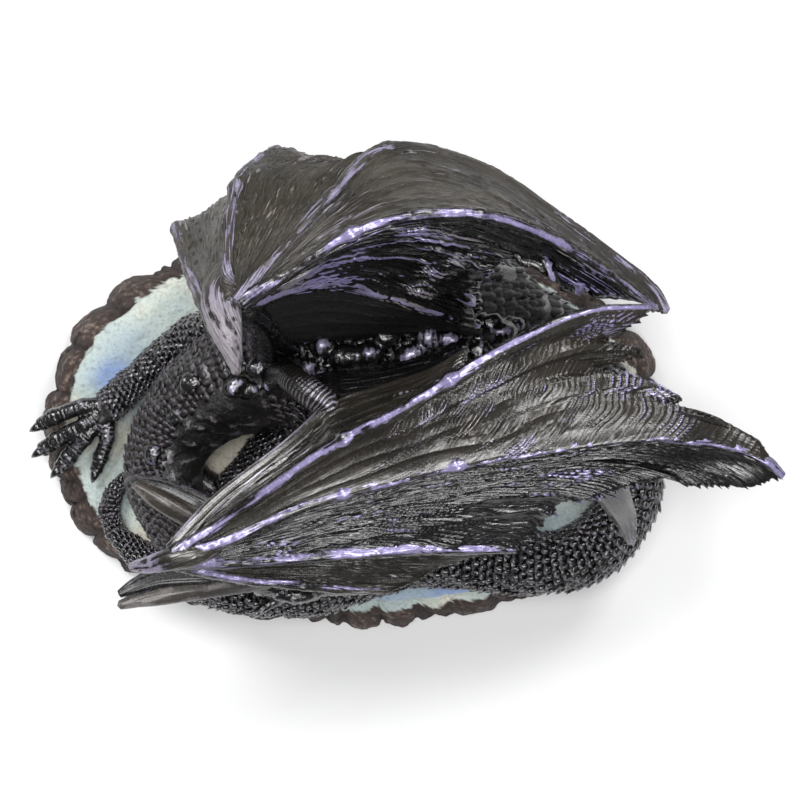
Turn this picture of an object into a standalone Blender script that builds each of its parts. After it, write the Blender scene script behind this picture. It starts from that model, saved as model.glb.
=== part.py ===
# Dragon statue: a cast resin dragon curled up on an oval block of snow-topped rock.
# Metres, +Z up. The origin is the centre of the rock's underside. The torso lies along X at
# the back (+Y) of the rock, the neck curls round the left end (-X) to the front, and the tail
# comes round the right end and along the front until its tip passes under the neck.

import math

import bmesh
import bpy
import numpy as np
from mathutils import Vector, noise

# Driving dimensions

# The rock base: an oval block with a flat snow top inside a rough rock rim that slopes out.
BASE_LENGTH = 0.240          # along X, over the foot of the rim
BASE_WIDTH = 0.156           # along Y, over the foot of the rim
BASE_HEIGHT = 0.020          # from the underside to the snow
RIM_WIDTH = 0.012            # how far the foot of the rim stands out beyond the snow
RIM_SHOULDER_DROP = 0.0030   # how far the broken edge of the rock lies below the snow
OVAL_POWER = 2.25            # 2 is a plain ellipse, more is squarer
STONE_PITCH = 0.015          # length of one broken stone round the rim
STONE_DEPTH = 0.0050         # how deep the rim is broken between two stones

# The dragon. Its pose and proportions are counted in units, 278 of them to its full length
# from the claws of the outstretched forepaw to the tip of the spread wing.
DRAGON_LENGTH = 0.278
DRAGON_UNITS = 278.0
WING_THICKNESS = 0.0028      # the cast wing skins
NODULE_RADIUS = 0.0050       # the glossy knobs along the backbone
SEAT_GAP = 0.0003            # the glue line between the dragon and the snow

SKIN_CELL = 0.0010           # cell size in which limbs and skins are melted together
DRAGON_TRIANGLES = 7400      # facets of the finished dragon
BASE_STEPS = 112             # facets round the rim

UNIT = DRAGON_LENGTH / DRAGON_UNITS

for old in list(bpy.data.objects):
    bpy.data.objects.remove(old, do_unlink=True)


# Helpers

def material(name, color, roughness, metallic=0.0):
    made = bpy.data.materials.new(name)
    made.use_nodes = True
    shader = made.node_tree.nodes["Principled BSDF"]
    shader.inputs["Base Color"].default_value = (*color, 1.0)
    shader.inputs["Roughness"].default_value = roughness
    shader.inputs["Metallic"].default_value = metallic
    return made


def smooth_path(points, count):
    """Return count points along the smooth curve through the given points, evenly spaced.

    Any values after x, y, z (such as a radius) are carried along in the same way."""
    p = np.array(points, dtype=float)
    p = np.vstack([2 * p[0] - p[1], p, 2 * p[-1] - p[-2]])
    fine = []
    for i in range(1, len(p) - 2):
        a, b, c, d = p[i - 1], p[i], p[i + 1], p[i + 2]
        for t in np.linspace(0, 1, 24, endpoint=False):
            fine.append(0.5 * (2 * b + (c - a) * t + (2 * a - 5 * b + 4 * c - d) * t ** 2
                               + (3 * b - a - 3 * c + d) * t ** 3))
    fine.append(p[-2])
    fine = np.array(fine)
    run = np.concatenate([[0], np.cumsum(np.linalg.norm(np.diff(fine[:, :3], axis=0), axis=1))])
    at = np.linspace(0, run[-1], count)
    return np.array([np.interp(at, run, column) for column in fine.T]).T


def limb(form, points, sides=14, step=3.0, height=1.0):
    """Add a closed limb to the bmesh: rings of the given radius along a smooth path.

    height stretches the rings upwards, for bodies that are deeper than they are wide."""
    length = sum(math.dist(a[:3], b[:3]) for a, b in zip(points, points[1:]))
    path = smooth_path(points, max(6, int(length / step)))
    rings = []
    across = None
    for i, (x, y, z, radius) in enumerate(path):
        ahead = Vector(path[min(i + 1, len(path) - 1)][:3] - path[max(i - 1, 0)][:3])
        ahead.normalize()
        if across is None:
            across = ahead.orthogonal()
        across = (across - ahead * across.dot(ahead)).normalized()
        up = ahead.cross(across)
        ring = []
        for k in range(sides):
            turn = math.tau * k / sides
            out = across * math.cos(turn) + up * math.sin(turn)
            spot = Vector((x, y, z)) + out * radius
            spot.z = z + (spot.z - z) * height
            ring.append(form.verts.new(spot * UNIT))
        rings.append(ring)
    for low, high in zip(rings, rings[1:]):
        for k in range(sides):
            form.faces.new((low[k], low[(k + 1) % sides], high[(k + 1) % sides], high[k]))
    for ring, end, inner in ((rings[0], path[0], path[1]), (rings[-1], path[-1], path[-2])):
        out = Vector(end[:3] - inner[:3]).normalized()
        pole = form.verts.new((Vector(end[:3]) + out * end[3] * 0.6) * UNIT)
        for k in range(sides):
            form.faces.new((ring[k], pole, ring[(k + 1) % sides]))


def skin(form, first, second, edge=(), sag=0.0, along=30, across=12):
    """Add a closed wing skin stretched between two fingers of the same hand.

    edge holds points of the free edge from the first fingertip to the second, and sag is how
    far the middle of the skin hangs back from the fingers."""
    a = smooth_path([p[:3] for p in first], along + 1)
    b = smooth_path([p[:3] for p in second], along + 1)
    rim = [tuple(a[-1])] + [tuple(p[:3]) for p in edge] + [tuple(b[-1])]
    rim = smooth_path(rim, across + 1) if edge else np.linspace(a[-1], b[-1], across + 1)
    s = np.linspace(0, 1, across + 1)[:, None, None]
    t = np.linspace(0, 1, along + 1)[None, :, None]
    straight = a[None] * (1 - s) + b[None] * s
    pull = (rim - (a[-1] * (1 - s[:, 0]) + b[-1] * s[:, 0]))[:, None]
    grid = straight + pull * t ** 3
    du = np.gradient(grid, axis=0)
    dv = np.gradient(grid, axis=1)
    normal = np.cross(du, dv)
    normal /= np.maximum(np.linalg.norm(normal, axis=2, keepdims=True), 1e-6)
    if normal[..., 2].sum() < 0:
        normal = -normal
    grid = grid - normal * sag * 4 * s * (1 - s) * np.sin(t * math.pi * 0.75)
    half = WING_THICKNESS / 2
    top = [[form.verts.new(Vector(g) * UNIT + Vector(n) * half) for g, n in zip(gr, nr)]
           for gr, nr in zip(grid, normal)]
    low = [[form.verts.new(Vector(g) * UNIT - Vector(n) * half) for g, n in zip(gr, nr)]
           for gr, nr in zip(grid, normal)]
    for i in range(across):
        for j in range(along):
            form.faces.new((top[i][j], top[i + 1][j], top[i + 1][j + 1], top[i][j + 1]))
            form.faces.new((low[i][j], low[i][j + 1], low[i + 1][j + 1], low[i + 1][j]))
    border = ([(i, 0) for i in range(across)] + [(across, j) for j in range(along)]
              + [(i, along) for i in range(across, 0, -1)] + [(0, j) for j in range(along, 0, -1)])
    for (i, j), (m, n) in zip(border, border[1:] + border[:1]):
        form.faces.new((top[i][j], low[i][j], low[m][n], top[m][n]))


def ball(form, center, radius):
    made = bmesh.ops.create_icosphere(form, subdivisions=2, radius=radius)
    bmesh.ops.translate(form, verts=made["verts"], vec=Vector(center) * UNIT)


def applied(obj):
    """Replace an object's mesh by its evaluated one and drop the modifiers."""
    graph = bpy.context.evaluated_depsgraph_get()
    mesh = bpy.data.meshes.new_from_object(obj.evaluated_get(graph))
    obj.modifiers.clear()
    obj.data = mesh


# The rock base

def oval(turn, half_length, half_width):
    c, s = math.cos(turn), math.sin(turn)
    reach = (abs(c / half_length) ** OVAL_POWER + abs(s / half_width) ** OVAL_POWER)
    return reach ** (-1 / OVAL_POWER)


def broken(turn, level):
    """Depth of the break in the rim, 0 to 1, at an angle and a level between foot and snow."""
    girth = math.pi * (BASE_LENGTH + BASE_WIDTH) / 2
    stones = girth / STONE_PITCH / math.tau
    spot = Vector((math.cos(turn) * stones, math.sin(turn) * stones, level * 0.45))
    near, stone = noise.voronoi(spot)
    crack = max(0.0, 1.0 - 2.2 * (near[1] - near[0]))
    set_back = 0.5 + 0.5 * noise.cell(stone[0] * 9.1)
    return min(1.0, 0.6 * crack + 0.5 * set_back)


def build_base():
    snow_half = (BASE_LENGTH / 2 - RIM_WIDTH, BASE_WIDTH / 2 - RIM_WIDTH)
    foot_half = (BASE_LENGTH / 2, BASE_WIDTH / 2)
    shoulder = BASE_HEIGHT - RIM_SHOULDER_DROP
    # Rows of the rim: share of the way out from the snow to the foot, height, share of break.
    rows = [(0.97, 0.0, 0.7), (1.00, 0.22 * shoulder, 0.9), (0.90, 0.50 * shoulder, 1.0),
            (0.76, 0.78 * shoulder, 1.0), (0.58, shoulder, 0.9), (0.20, 1.02 * shoulder, 0.5),
            (0.00, BASE_HEIGHT, 0.25)]
    form = bmesh.new()
    rings = []
    for level, (out, z, share) in enumerate(rows):
        half = [s + (f - s) * out for s, f in zip(snow_half, foot_half)]
        ring = []
        for k in range(BASE_STEPS):
            turn = math.tau * k / BASE_STEPS
            cut = broken(turn, level)
            reach = oval(turn, *half) - STONE_DEPTH * share * cut
            drop = STONE_DEPTH * 0.4 * share * cut if 0 < level < len(rows) - 1 else 0.0
            ring.append(form.verts.new((reach * math.cos(turn), reach * math.sin(turn),
                                        max(z - drop, 0.0))))
        rings.append(ring)
    for low, high in zip(rings, rings[1:]):
        for k in range(BASE_STEPS):
            n = (k + 1) % BASE_STEPS
            form.faces.new((low[k], low[n], high[n], high[k]))
    form.faces.new(list(reversed(rings[0])))
    form.faces.new(rings[-1])
    bmesh.ops.triangulate(form, faces=form.faces[:])
    mesh = bpy.data.meshes.new("rock_base")
    form.to_mesh(mesh)
    form.free()
    base = bpy.data.objects.new("rock_base", mesh)
    bpy.context.scene.collection.objects.link(base)
    mesh.materials.append(material("painted_rock_and_snow", (0.36, 0.34, 0.33), 0.75))
    return base


# The dragon: pose in units, heights counted from the snow
# Every point is (x, y, z, radius).

NECK = [(-32, -49, 37, 10), (-52, -43, 35, 11.5), (-64, -33, 30, 12.6), (-70, -20, 25, 13.8),
        (-68, -6, 23, 15), (-58, 8, 25, 17.5), (-44, 17, 28, 20)]
TORSO = [(-25, 24, 29, 23.5), (-3, 27, 29, 26), (21, 30, 28, 26.5), (43, 31, 27, 25.5),
         (64, 29, 23, 22.5)]
TAIL = [(82, 19, 17, 17), (96, 5, 12, 13.6), (103, -10, 10, 12.1), (103, -27, 10, 11.6),
        (91, -44, 10, 11.5), (70, -51, 10, 11.3), (36, -49, 9, 10.6), (12, -51, 9, 10.3),
        (-12, -60, 8, 9.8), (-39, -61, 8, 9), (-66, -55, 7, 7), (-84, -45, 6, 5),
        (-91, -36, 4, 3.9), (-91, -26, 4, 3.7), (-85, -18, 3, 2.6)]
SKULL = [(-35, -50, 37, 10.5), (-26, -51, 36.5, 11.6), (-17, -52.5, 34.5, 10.2),
         (-8, -54, 31, 7.6), (2, -55, 28.5, 6.4), (9, -55.5, 27, 5)]
JAW = [(-30, -51, 29, 8.5), (-16, -53, 25.5, 6.6), (-4, -55, 22.5, 4.8), (6, -56, 21, 3.2)]
BROWS = [[(-30, -43, 43, 2.4), (-21, -44, 43.5, 3.2), (-12, -48, 39, 2)],
         [(-28, -60, 42, 2.4), (-19, -60.5, 42.5, 3.2), (-11, -59, 38.5, 2)]]
NOSTRILS = [(8, -52.5, 31), (9, -58.5, 30.5)]
NOSTRIL_SIZE = 2.4
CHEEKS = [[(-28, -42, 33, 3), (-38, -35, 34, 1.2)], [(-26, -61, 32, 3), (-36, -68, 33, 1.2)],
          [(-24, -60, 27, 2.6), (-33, -67, 26, 1.1)]]
HORNS = [[(-35, -44, 46, 4.2), (-48, -37, 51, 4.2), (-60, -31, 54, 4), (-70, -25, 56, 3.4),
          (-78, -20, 58, 1.5)],
         [(-30, -54, 45, 4.2), (-46, -56, 51, 4.2), (-60, -58, 55, 4.2), (-72, -60, 58, 3.6),
          (-83, -63, 61, 1.6)]]
EARS = [[(-38, -40, 44, 2), (-52, -30, 48, 2), (-65, -23, 49, 1.8), (-77, -19, 49, 1.3)],
        [(-33, -51, 48, 2), (-51, -52, 56, 2), (-68, -53, 60, 1.8), (-83, -59, 63, 1.3)]]

FORELEG_OUT = [(-35, 28, 28, 12), (-47, 34, 25, 9.5), (-57, 35, 19, 7.8), (-68, 29, 13, 6.6),
               (-78, 21, 9, 6), (-87, 13, 8, 6), (-93, 8, 8, 6)]
PALM_OUT = [(-86, 13, 8, 6), (-94, 5, 7, 5.6), (-101, 1, 6, 4.4)]
TOES_OUT = [[(-93, 8, 8, 3.6), (-101, 8, 9, 3), (-112, 4, 6, 3), (-118, 0.5, 3, 2.5),
             (-124, -4, 2, 1.2)],
            [(-94, 6, 8, 3.6), (-101, 1, 9, 3), (-111, -4, 6, 3), (-117, -9, 3, 2.6),
             (-124, -13, 2, 1.2)],
            [(-94, 4, 7, 3.4), (-101, -4, 8, 3), (-107, -11, 5, 3), (-111, -15.5, 4, 2.6),
             (-116, -21, 2, 1.2)],
            [(-92, 5, 7, 3.2), (-92.5, -4, 7, 2.8), (-95, -11, 5, 2.8), (-97, -16.5, 3, 2.3),
             (-98, -20, 2, 1.2)]]
FORELEG_IN = [(-17, 9, 24, 12), (-26, -4, 16, 9.5), (-37, -17.5, 10, 9.3), (-48, -27, 8, 8),
              (-56, -34, 6, 6.5)]
NECK_CREASE = [(-64, -13, 12, 6), (-57.5, -19.5, 9, 5.5), (-49, -26, 8, 6)]
HAUNCHES = [[(34, 34, 24, 15), (52, 42, 22, 19), (64, 38, 18, 14)],
            [(36, 16, 20, 15), (54, 2, 17, 18), (66, 10, 14, 13)]]
HINDLEGS = [[(58, 50, 13, 11), (42, 60, 11, 9), (28, 63, 7, 6.5), (14, 61, 5, 5.5)],
            [(56, -8, 13, 11), (40, -17, 11, 9), (27, -22, 7, 6.5), (13, -24, 5, 5.5)]]
HIND_TOE_SPREAD = (-0.5, 0.0, 0.5)

# Wing raised over the back: upper arm, thumb spike and four fingers from the wrist.
RAISED_ARM = [(-26, 28, 42, 10), (-31, 35, 64, 8), (-33, 40, 86, 7), (-37, 43, 112, 7)]
RAISED_THUMB = [(-41, 61, 113, 1.5), (-42.5, 53, 116, 4.6), (-43.5, 45, 118, 6.8),
                (-42, 36, 121, 5.8), (-39.6, 27, 122, 3.6), (-38.2, 19.5, 120, 1.4)]
RAISED_FINGERS = [
    [(-44, 34, 119, 4), (-50.5, 45, 107, 3.0), (-57, 58, 84, 2.6), (-62, 71, 66, 3.6),
     (-61, 72, 50, 2.2), (-58, 68, 38, 1.8)],
    [(-40, 44, 122, 4), (-41, 57, 121, 2.7), (-39, 83, 104, 3.7), (-34, 92, 88, 2.5),
     (-27, 98, 72, 3.6), (-22, 97, 54, 2.2), (-18, 92, 40, 1.8)],
    [(-38, 44, 123, 4), (-25, 58, 123, 2.5), (-6, 80, 115, 3.2), (13, 98, 90, 3.6),
     (44, 93, 79, 2.6), (72, 76, 74, 2.4), (93, 61, 70, 2.4), (107, 50, 66, 2.8),
     (112, 42, 64, 2.3)],
    [(-36, 44, 123, 4), (-20, 53, 128, 2.6), (1, 66, 132, 3.9), (20, 72, 130, 2.6),
     (44, 73, 124, 3.2), (63, 68, 115, 2.5), (85, 57, 98, 2.2), (107, 43, 75, 1.9)],
    [(-36, 43, 118, 4), (-20, 49, 108, 3.0), (-7, 50.5, 99, 3.2), (5, 49, 90, 2.9),
     (26, 43, 77, 2.6), (45, 37, 65, 2.2)]]
RAISED_SAG = (3.0, 4.0, 3.0, 5.0)
RAISED_EDGES = [[], [(20, 88, 40), (70, 68, 50)], [],
                [(87, 50, 92), (60, 56, 101), (49, 51, 90)]]
RAISED_FLANK = [(-30, 30, 46), (-12, 31, 50), (10, 33, 52), (32, 36, 53), (47, 35, 56)]

# Wing spread over the front: upper arm, forearm, thumb and four fingers from the wrist.
SPREAD_ARM = [(-25, 19, 40, 10), (-23, 19, 56, 7.5), (-21, 18, 70, 5)]
SPREAD_ELBOW = [(-23, 19, 68, 4.4), (-19, 16, 75, 5), (-13.5, 12.3, 79, 5.1), (-8.5, 8.6, 80, 4.7),
                (-7, 5, 80, 3.8)]
SPREAD_FOREARM = [(-7.5, 7, 80, 3.8), (-11, 2, 81, 4.1), (-22, -7.5, 84, 3.7),
                  (-46, -26, 87, 3.5), (-61, -43, 90, 4.4)]
SPREAD_THUMB = [(-46, -40, 91, 2.6), (-54, -43, 91, 4.4), (-62, -45, 91, 4.2),
                (-70, -47, 89, 3.1), (-77, -48, 86, 1.3)]
SPREAD_FINGERS = [
    [(-61, -43, 91, 3.8), (-47, -34, 94, 2.6), (-26, -19, 101, 2.6), (-2, -3, 109, 3.7),
     (16, 6, 115, 2.6), (34, 17, 119, 3.8), (55, 29, 119, 2.5), (80, 40, 111, 2.3),
     (103, 42, 101, 1.9)],
    [(-61, -44, 91, 3.8), (-42, -38, 93, 2.6), (-21, -28, 95, 2.6), (-2, -22, 97, 3.5),
     (17, -17, 99, 2.7), (37, -12, 101, 4), (66, -7, 101, 2.6), (98, -3, 99, 2.4),
     (117, -3.5, 96, 2.4), (132, -5.5, 92, 2.4), (145, -11, 89, 2.3), (151, -16, 86, 1.9)],
    [(-61, -45, 90, 3.8), (-39, -46, 84, 2.5), (-11, -44, 78, 2.5), (20, -42, 73, 3.7),
     (39, -42, 69, 2.4), (58, -42, 65, 1.9)],
    [(-61, -46, 88, 3.4), (-41, -52, 80, 2.3), (-18, -55, 72, 2.3), (-1, -57, 65, 2),
     (14, -57, 60, 1.8)]]
SPREAD_SAG = (3.0, 3.5, 3.0)
SPREAD_EDGES = [[(97, 29, 100), (91, 18, 99), (104, 14, 98), (116, 7, 97), (132, 1, 92)],
                [(134, -21, 85), (104, -21, 87), (80, -26, 82)],
                [(42, -47, 62), (28, -53, 59)]]
SPREAD_FOLD = [(-8, 11, 77), (8, 13, 85), (22, 17, 92), (32, 21, 97), (40, 26.5, 99)]
SPREAD_FOLD_TIP = (39, 20, 119, 3)
SPREAD_FLANK = [(-20, 20, 48), (-3, 22, 48), (15, 24, 49), (30, 28, 52), (42, 31, 58)]
SPREAD_SPUR = [(89, -14, 84, 5), (91, -19, 74, 6), (95, -26, 62, 5), (99, -33, 48, 3.6),
               (102, -42, 36, 1.4)]

NODULE_COUNT = 10
NODULE_SPAN = (0.16, 0.40)       # where the knobs start and end along neck, torso and tail
KNUCKLE_SWELL = 3.0              # a finger joint is a point with a radius over this


def build_dragon():
    form = bmesh.new()
    backbone = NECK + TORSO + TAIL
    limb(form, backbone, sides=20, step=3.0)
    limb(form, SKULL, sides=16, step=2.5, height=0.85)
    limb(form, JAW, sides=12, step=2.5, height=0.7)
    for nostril in NOSTRILS:
        ball(form, nostril, NOSTRIL_SIZE * UNIT)
    for horn in HORNS + EARS + BROWS + CHEEKS:
        limb(form, horn, sides=10, step=2.0)
    for leg in [FORELEG_OUT, PALM_OUT, FORELEG_IN, NECK_CREASE] + HAUNCHES + HINDLEGS:
        limb(form, leg, sides=14)
    for toe in TOES_OUT:
        limb(form, toe, sides=8, step=2.0)
    for leg in HINDLEGS + [FORELEG_IN]:
        heel, foot = Vector(leg[-2][:3]), Vector(leg[-1][:3])
        ahead = (foot - heel).normalized()
        side = Vector((-ahead.y, ahead.x, 0.0))
        for spread in HIND_TOE_SPREAD:
            run = (ahead + side * spread).normalized()
            run.z = 0.0
            toe = [(*(foot + run * d), r) for d, r in ((0, 3.2), (6, 2.8), (11, 2.6), (16, 1.3))]
            toe = [(x, y, z - 0.16 * k * z, r) for k, (x, y, z, r) in enumerate(toe)]
            limb(form, toe, sides=8, step=2.0)
    path = smooth_path(backbone, 400)
    for k in range(NODULE_COUNT):
        share = NODULE_SPAN[0] + (NODULE_SPAN[1] - NODULE_SPAN[0]) * k / (NODULE_COUNT - 1)
        x, y, z, radius = path[int(share * 399)]
        ball(form, (x, y, z + radius), NODULE_RADIUS)

    for bone in [RAISED_ARM, RAISED_THUMB] + RAISED_FINGERS:
        limb(form, bone, sides=8)
    for k, sag in enumerate(RAISED_SAG):
        skin(form, RAISED_FINGERS[k], RAISED_FINGERS[k + 1], RAISED_EDGES[k], sag)
    skin(form, RAISED_FINGERS[-1], RAISED_FLANK)

    for bone in [SPREAD_ARM, SPREAD_ELBOW, SPREAD_FOREARM, SPREAD_THUMB,
                 SPREAD_SPUR] + SPREAD_FINGERS:
        limb(form, bone, sides=8)
    for k, sag in enumerate(SPREAD_SAG):
        skin(form, SPREAD_FINGERS[k], SPREAD_FINGERS[k + 1], SPREAD_EDGES[k], sag)
    arm_line = [p[:3] for p in reversed(SPREAD_FOREARM)] + SPREAD_FOLD[1:]
    skin(form, arm_line, SPREAD_FINGERS[0][:6] + [SPREAD_FOLD_TIP], sag=2.0)
    skin(form, SPREAD_FOLD, SPREAD_FLANK, sag=1.0)

    form.normal_update()
    mesh = bpy.data.meshes.new("dragon")
    form.to_mesh(mesh)
    form.free()
    dragon = bpy.data.objects.new("dragon", mesh)
    bpy.context.scene.collection.objects.link(dragon)

    # Limbs, skins and knobs are one casting: melt them into one closed surface.
    melt = dragon.modifiers.new("Melt", "REMESH")
    melt.mode = "VOXEL"
    melt.voxel_size = SKIN_CELL
    soften = dragon.modifiers.new("Soften", "SMOOTH")
    soften.factor = 0.5
    soften.iterations = 3
    applied(dragon)
    facets = sum(len(p.vertices) - 2 for p in dragon.data.polygons)
    facet = dragon.modifiers.new("Facet", "DECIMATE")
    facet.ratio = min(1.0, DRAGON_TRIANGLES / facets)
    facet.use_collapse_triangulate = True
    applied(dragon)

    # The underside is ground flat where the dragon is glued to the snow.
    cutter_mesh = bpy.data.meshes.new("grinding_block")
    block = bmesh.new()
    bmesh.ops.create_cube(block, size=1.0)
    bmesh.ops.scale(block, verts=block.verts, vec=(2 * DRAGON_LENGTH, 2 * DRAGON_LENGTH,
                                                   0.3 * DRAGON_LENGTH))
    bmesh.ops.translate(block, verts=block.verts, vec=(0, 0, -0.15 * DRAGON_LENGTH))
    block.to_mesh(cutter_mesh)
    block.free()
    cutter = bpy.data.objects.new("grinding_block", cutter_mesh)
    bpy.context.scene.collection.objects.link(cutter)
    cutter.hide_render = True
    cutter.display_type = "WIRE"
    seat = BASE_HEIGHT + SEAT_GAP
    cutter.location.z = seat
    dragon.location.z = seat
    grind = dragon.modifiers.new("Ground flat", "BOOLEAN")
    grind.operation = "DIFFERENCE"
    grind.solver = "EXACT"
    grind.object = cutter
    dragon.data.materials.append(material("painted_black_resin", (0.035, 0.033, 0.036), 0.38))
    dragon.data.shade_smooth()
    dragon.data.set_sharp_from_angle(angle=math.radians(60))
    return dragon


build_base()
build_dragon()
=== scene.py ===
import math

import bmesh
import bpy
import numpy as np
from mathutils import Matrix, Vector, noise
from mathutils.bvhtree import BVHTree


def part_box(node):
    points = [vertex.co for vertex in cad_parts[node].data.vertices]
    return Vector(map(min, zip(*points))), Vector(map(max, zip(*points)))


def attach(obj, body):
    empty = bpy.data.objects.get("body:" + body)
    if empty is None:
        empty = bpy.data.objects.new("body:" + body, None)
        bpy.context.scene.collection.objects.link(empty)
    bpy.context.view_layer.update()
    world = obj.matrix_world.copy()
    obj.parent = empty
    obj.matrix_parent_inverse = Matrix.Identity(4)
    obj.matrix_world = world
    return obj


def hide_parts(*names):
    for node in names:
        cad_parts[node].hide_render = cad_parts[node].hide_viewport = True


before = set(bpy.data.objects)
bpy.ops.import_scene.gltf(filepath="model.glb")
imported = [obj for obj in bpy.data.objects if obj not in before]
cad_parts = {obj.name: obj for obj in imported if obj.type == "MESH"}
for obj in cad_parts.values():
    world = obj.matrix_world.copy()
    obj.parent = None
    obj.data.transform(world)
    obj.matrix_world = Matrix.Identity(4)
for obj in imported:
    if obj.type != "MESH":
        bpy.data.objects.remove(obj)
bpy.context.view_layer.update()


# Table and light. The statue lies on a pale table and is looked at from straight above, 1.2 m
# up, as in the photo, under a large softbox at the back and weaker ones at the sides.

CAMERA_PLACE = (0.01725, 0.01035, 1.2)                          # m, above the statue's middle
FILM_WIDTH, LENS = 36, 140.8                                    # mm
TABLE_HALF = 1.6                                                # m

camera = bpy.data.objects.new("camera", bpy.data.cameras.new("camera"))
camera.location = CAMERA_PLACE
camera.data.sensor_width = FILM_WIDTH
camera.data.lens = LENS
bpy.context.scene.collection.objects.link(camera)
bpy.context.scene.camera = camera
bpy.context.scene.view_settings.view_transform = "Standard"


def linear(hex_color):
    """sRGB hex to a linear colour with alpha."""
    parts = [int(hex_color[i:i + 2], 16) / 255 for i in (1, 3, 5)]
    return (*[c / 12.92 if c <= 0.04045 else ((c + 0.055) / 1.055) ** 2.4 for c in parts], 1.0)


def add(tree, kind, inputs=None, **settings):
    """Add a node with its settings; inputs are values or the sockets they are linked to."""
    made = tree.nodes.new(kind)
    for name, value in settings.items():
        setattr(made, name, value)
    for name, value in (inputs or {}).items():
        if isinstance(value, bpy.types.NodeSocket):
            tree.links.new(value, made.inputs[name])
        else:
            made.inputs[name].default_value = value
    return made


def softbox(name, place, aim, width, depth, watts):
    """A soft white lamp at a place, turned to its aim; sizes in m."""
    lamp = bpy.data.lights.new(name, "AREA")
    lamp.shape = "RECTANGLE"
    lamp.size, lamp.size_y, lamp.energy = width, depth, watts
    box = bpy.data.objects.new(name, lamp)
    box.location = place
    box.rotation_euler = (Vector(aim) - Vector(place)).to_track_quat("-Z", "Y").to_euler()
    bpy.context.scene.collection.objects.link(box)


softbox("back_left_softbox", (-0.55, 0.62, 1.15), (0, 0.02, 0.05), 0.5, 0.5, 15)
softbox("back_right_softbox", (0.55, 0.75, 1.0), (0, 0.02, 0.05), 0.35, 0.5, 8.5)
softbox("front_softbox", (0.35, -0.7, 1.3), (0, 0, 0.05), 0.45, 0.45, 10.5)
softbox("top_softbox", (-0.05, 0.05, 1.6), (0, 0, 0.05), 0.45, 0.45, 12)
world = bpy.data.worlds.new("studio")
world.use_nodes = True
world.node_tree.nodes["Background"].inputs["Color"].default_value = linear("#f4f6ff")
world.node_tree.nodes["Background"].inputs["Strength"].default_value = 0.2
bpy.context.scene.world = world

table_mesh = bpy.data.meshes.new("table")
corners = [(x * TABLE_HALF, y * TABLE_HALF, 0) for x, y in ((-1, -1), (1, -1), (1, 1), (-1, 1))]
table_mesh.from_pydata(corners, [], [(0, 1, 2, 3)])
table = bpy.data.objects.new("table", table_mesh)
bpy.context.scene.collection.objects.link(table)
# Matt pale card: it takes a soft shadow and gives no reflection.
card = bpy.data.materials.new("matt_pale_card")
card.use_nodes = True
card.node_tree.nodes["Principled BSDF"].inputs["Base Color"].default_value = linear("#d6d6d6")
card.node_tree.nodes["Principled BSDF"].inputs["Roughness"].default_value = 0.9
table_mesh.materials.append(card)


# The rock: an oval block cast in resin, with a rim of broken brown stone round a level top of
# snow. The casting is painted dark brown on the stone and stippled cream, aqua and pale blue
# on the snow, and the dragon is glued on top.

ROCK_LENGTH, ROCK_WIDTH, ROCK_HEIGHT = 240.0, 156.0, 20.0       # mm, over the foot of the rim
RIM_WIDTH, OVAL_POWER = 12.0, 2.25
STONE_PITCH, STONE_DEPTH = 15.0, 5.0
CHIP_PITCH, CHIP_DEPTH = 4.6, 0.8
RIM_PROFILE = [(0.0, 20.0, 0.25, 6), (0.20, 17.3, 0.5, 5), (0.58, 17.0, 0.9, 4),
               (0.76, 13.3, 1.0, 3), (0.90, 8.5, 1.0, 2), (1.00, 3.7, 1.0, 1),
               (0.97, 0.0, 1.0, 0)]          # share of the rim's width, mm up, break, level
# The negative entry at (-45, -8) is a painted light: lighter cream laid on the snow where the
# neck and wing shade it.
SNOW_BLUE_AND_PAINTED_LIGHT = [(-92, 18, 8, 0.55), (-84, 26, 12, 0.2), (-58, 46, 14, 0.12), (-92, -8, 12, 0.1),
             (-45, -8, 14, -0.5), (36, -62, 13, 0.6), (14, -66, 12, 0.4), (75, -40, 12, 0.3),
             (80, 38, 14, 0.15)]             # where, how wide in mm, how blue
SNOW_LAP = {0: 1, 60: 0, 120: 1.5, 175: 1.5, 190: -2, 204: 0, 218: 6, 240: 5, 275: 2.5,
            320: 3, 360: 1}                  # mm over the rim, by degrees round the oval
SNOW_CELLS = 150                                                # grid of the snow, each way
RIM_ROWS = 30
SNOW_TINT, SNOW_STIPPLE, STONE_GRIT = 22.22, 1.538, 2.381       # mm, patterns of the paint


def cloud(x, y, seed, octaves=1):
    """Smooth random field, about -1 to 1, with bumps one unit apart. Octaves add finer ones."""
    size = 64
    table = np.random.default_rng(seed).uniform(-1, 1, (size, size))
    total, share = 0.0, 1.0
    for _ in range(octaves):
        i, j = np.floor(x).astype(int), np.floor(y).astype(int)
        u, v = x - i, y - j
        u, v = u * u * (3 - 2 * u), v * v * (3 - 2 * v)
        a, b = table[i % size, j % size], table[(i + 1) % size, j % size]
        c, d = table[i % size, (j + 1) % size], table[(i + 1) % size, (j + 1) % size]
        total = total + share * ((a * (1 - u) + b * u) * (1 - v) + (c * (1 - u) + d * u) * v)
        x, y, share = x * 2.03 + 7.1, y * 2.03 + 3.7, share * 0.5
    return total


def brush_of(relief, lavender, olive=0.0):
    """How the paint lies on each point, each 0 to 1. On the rock the three stand for how
    light the stone is, darker in its cracks and notches as painted shade, how blue the snow
    is, lowered to cream where a painted light lies, and where snow lies."""
    return np.stack(np.broadcast_arrays(relief, lavender, olive), -1)


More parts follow.
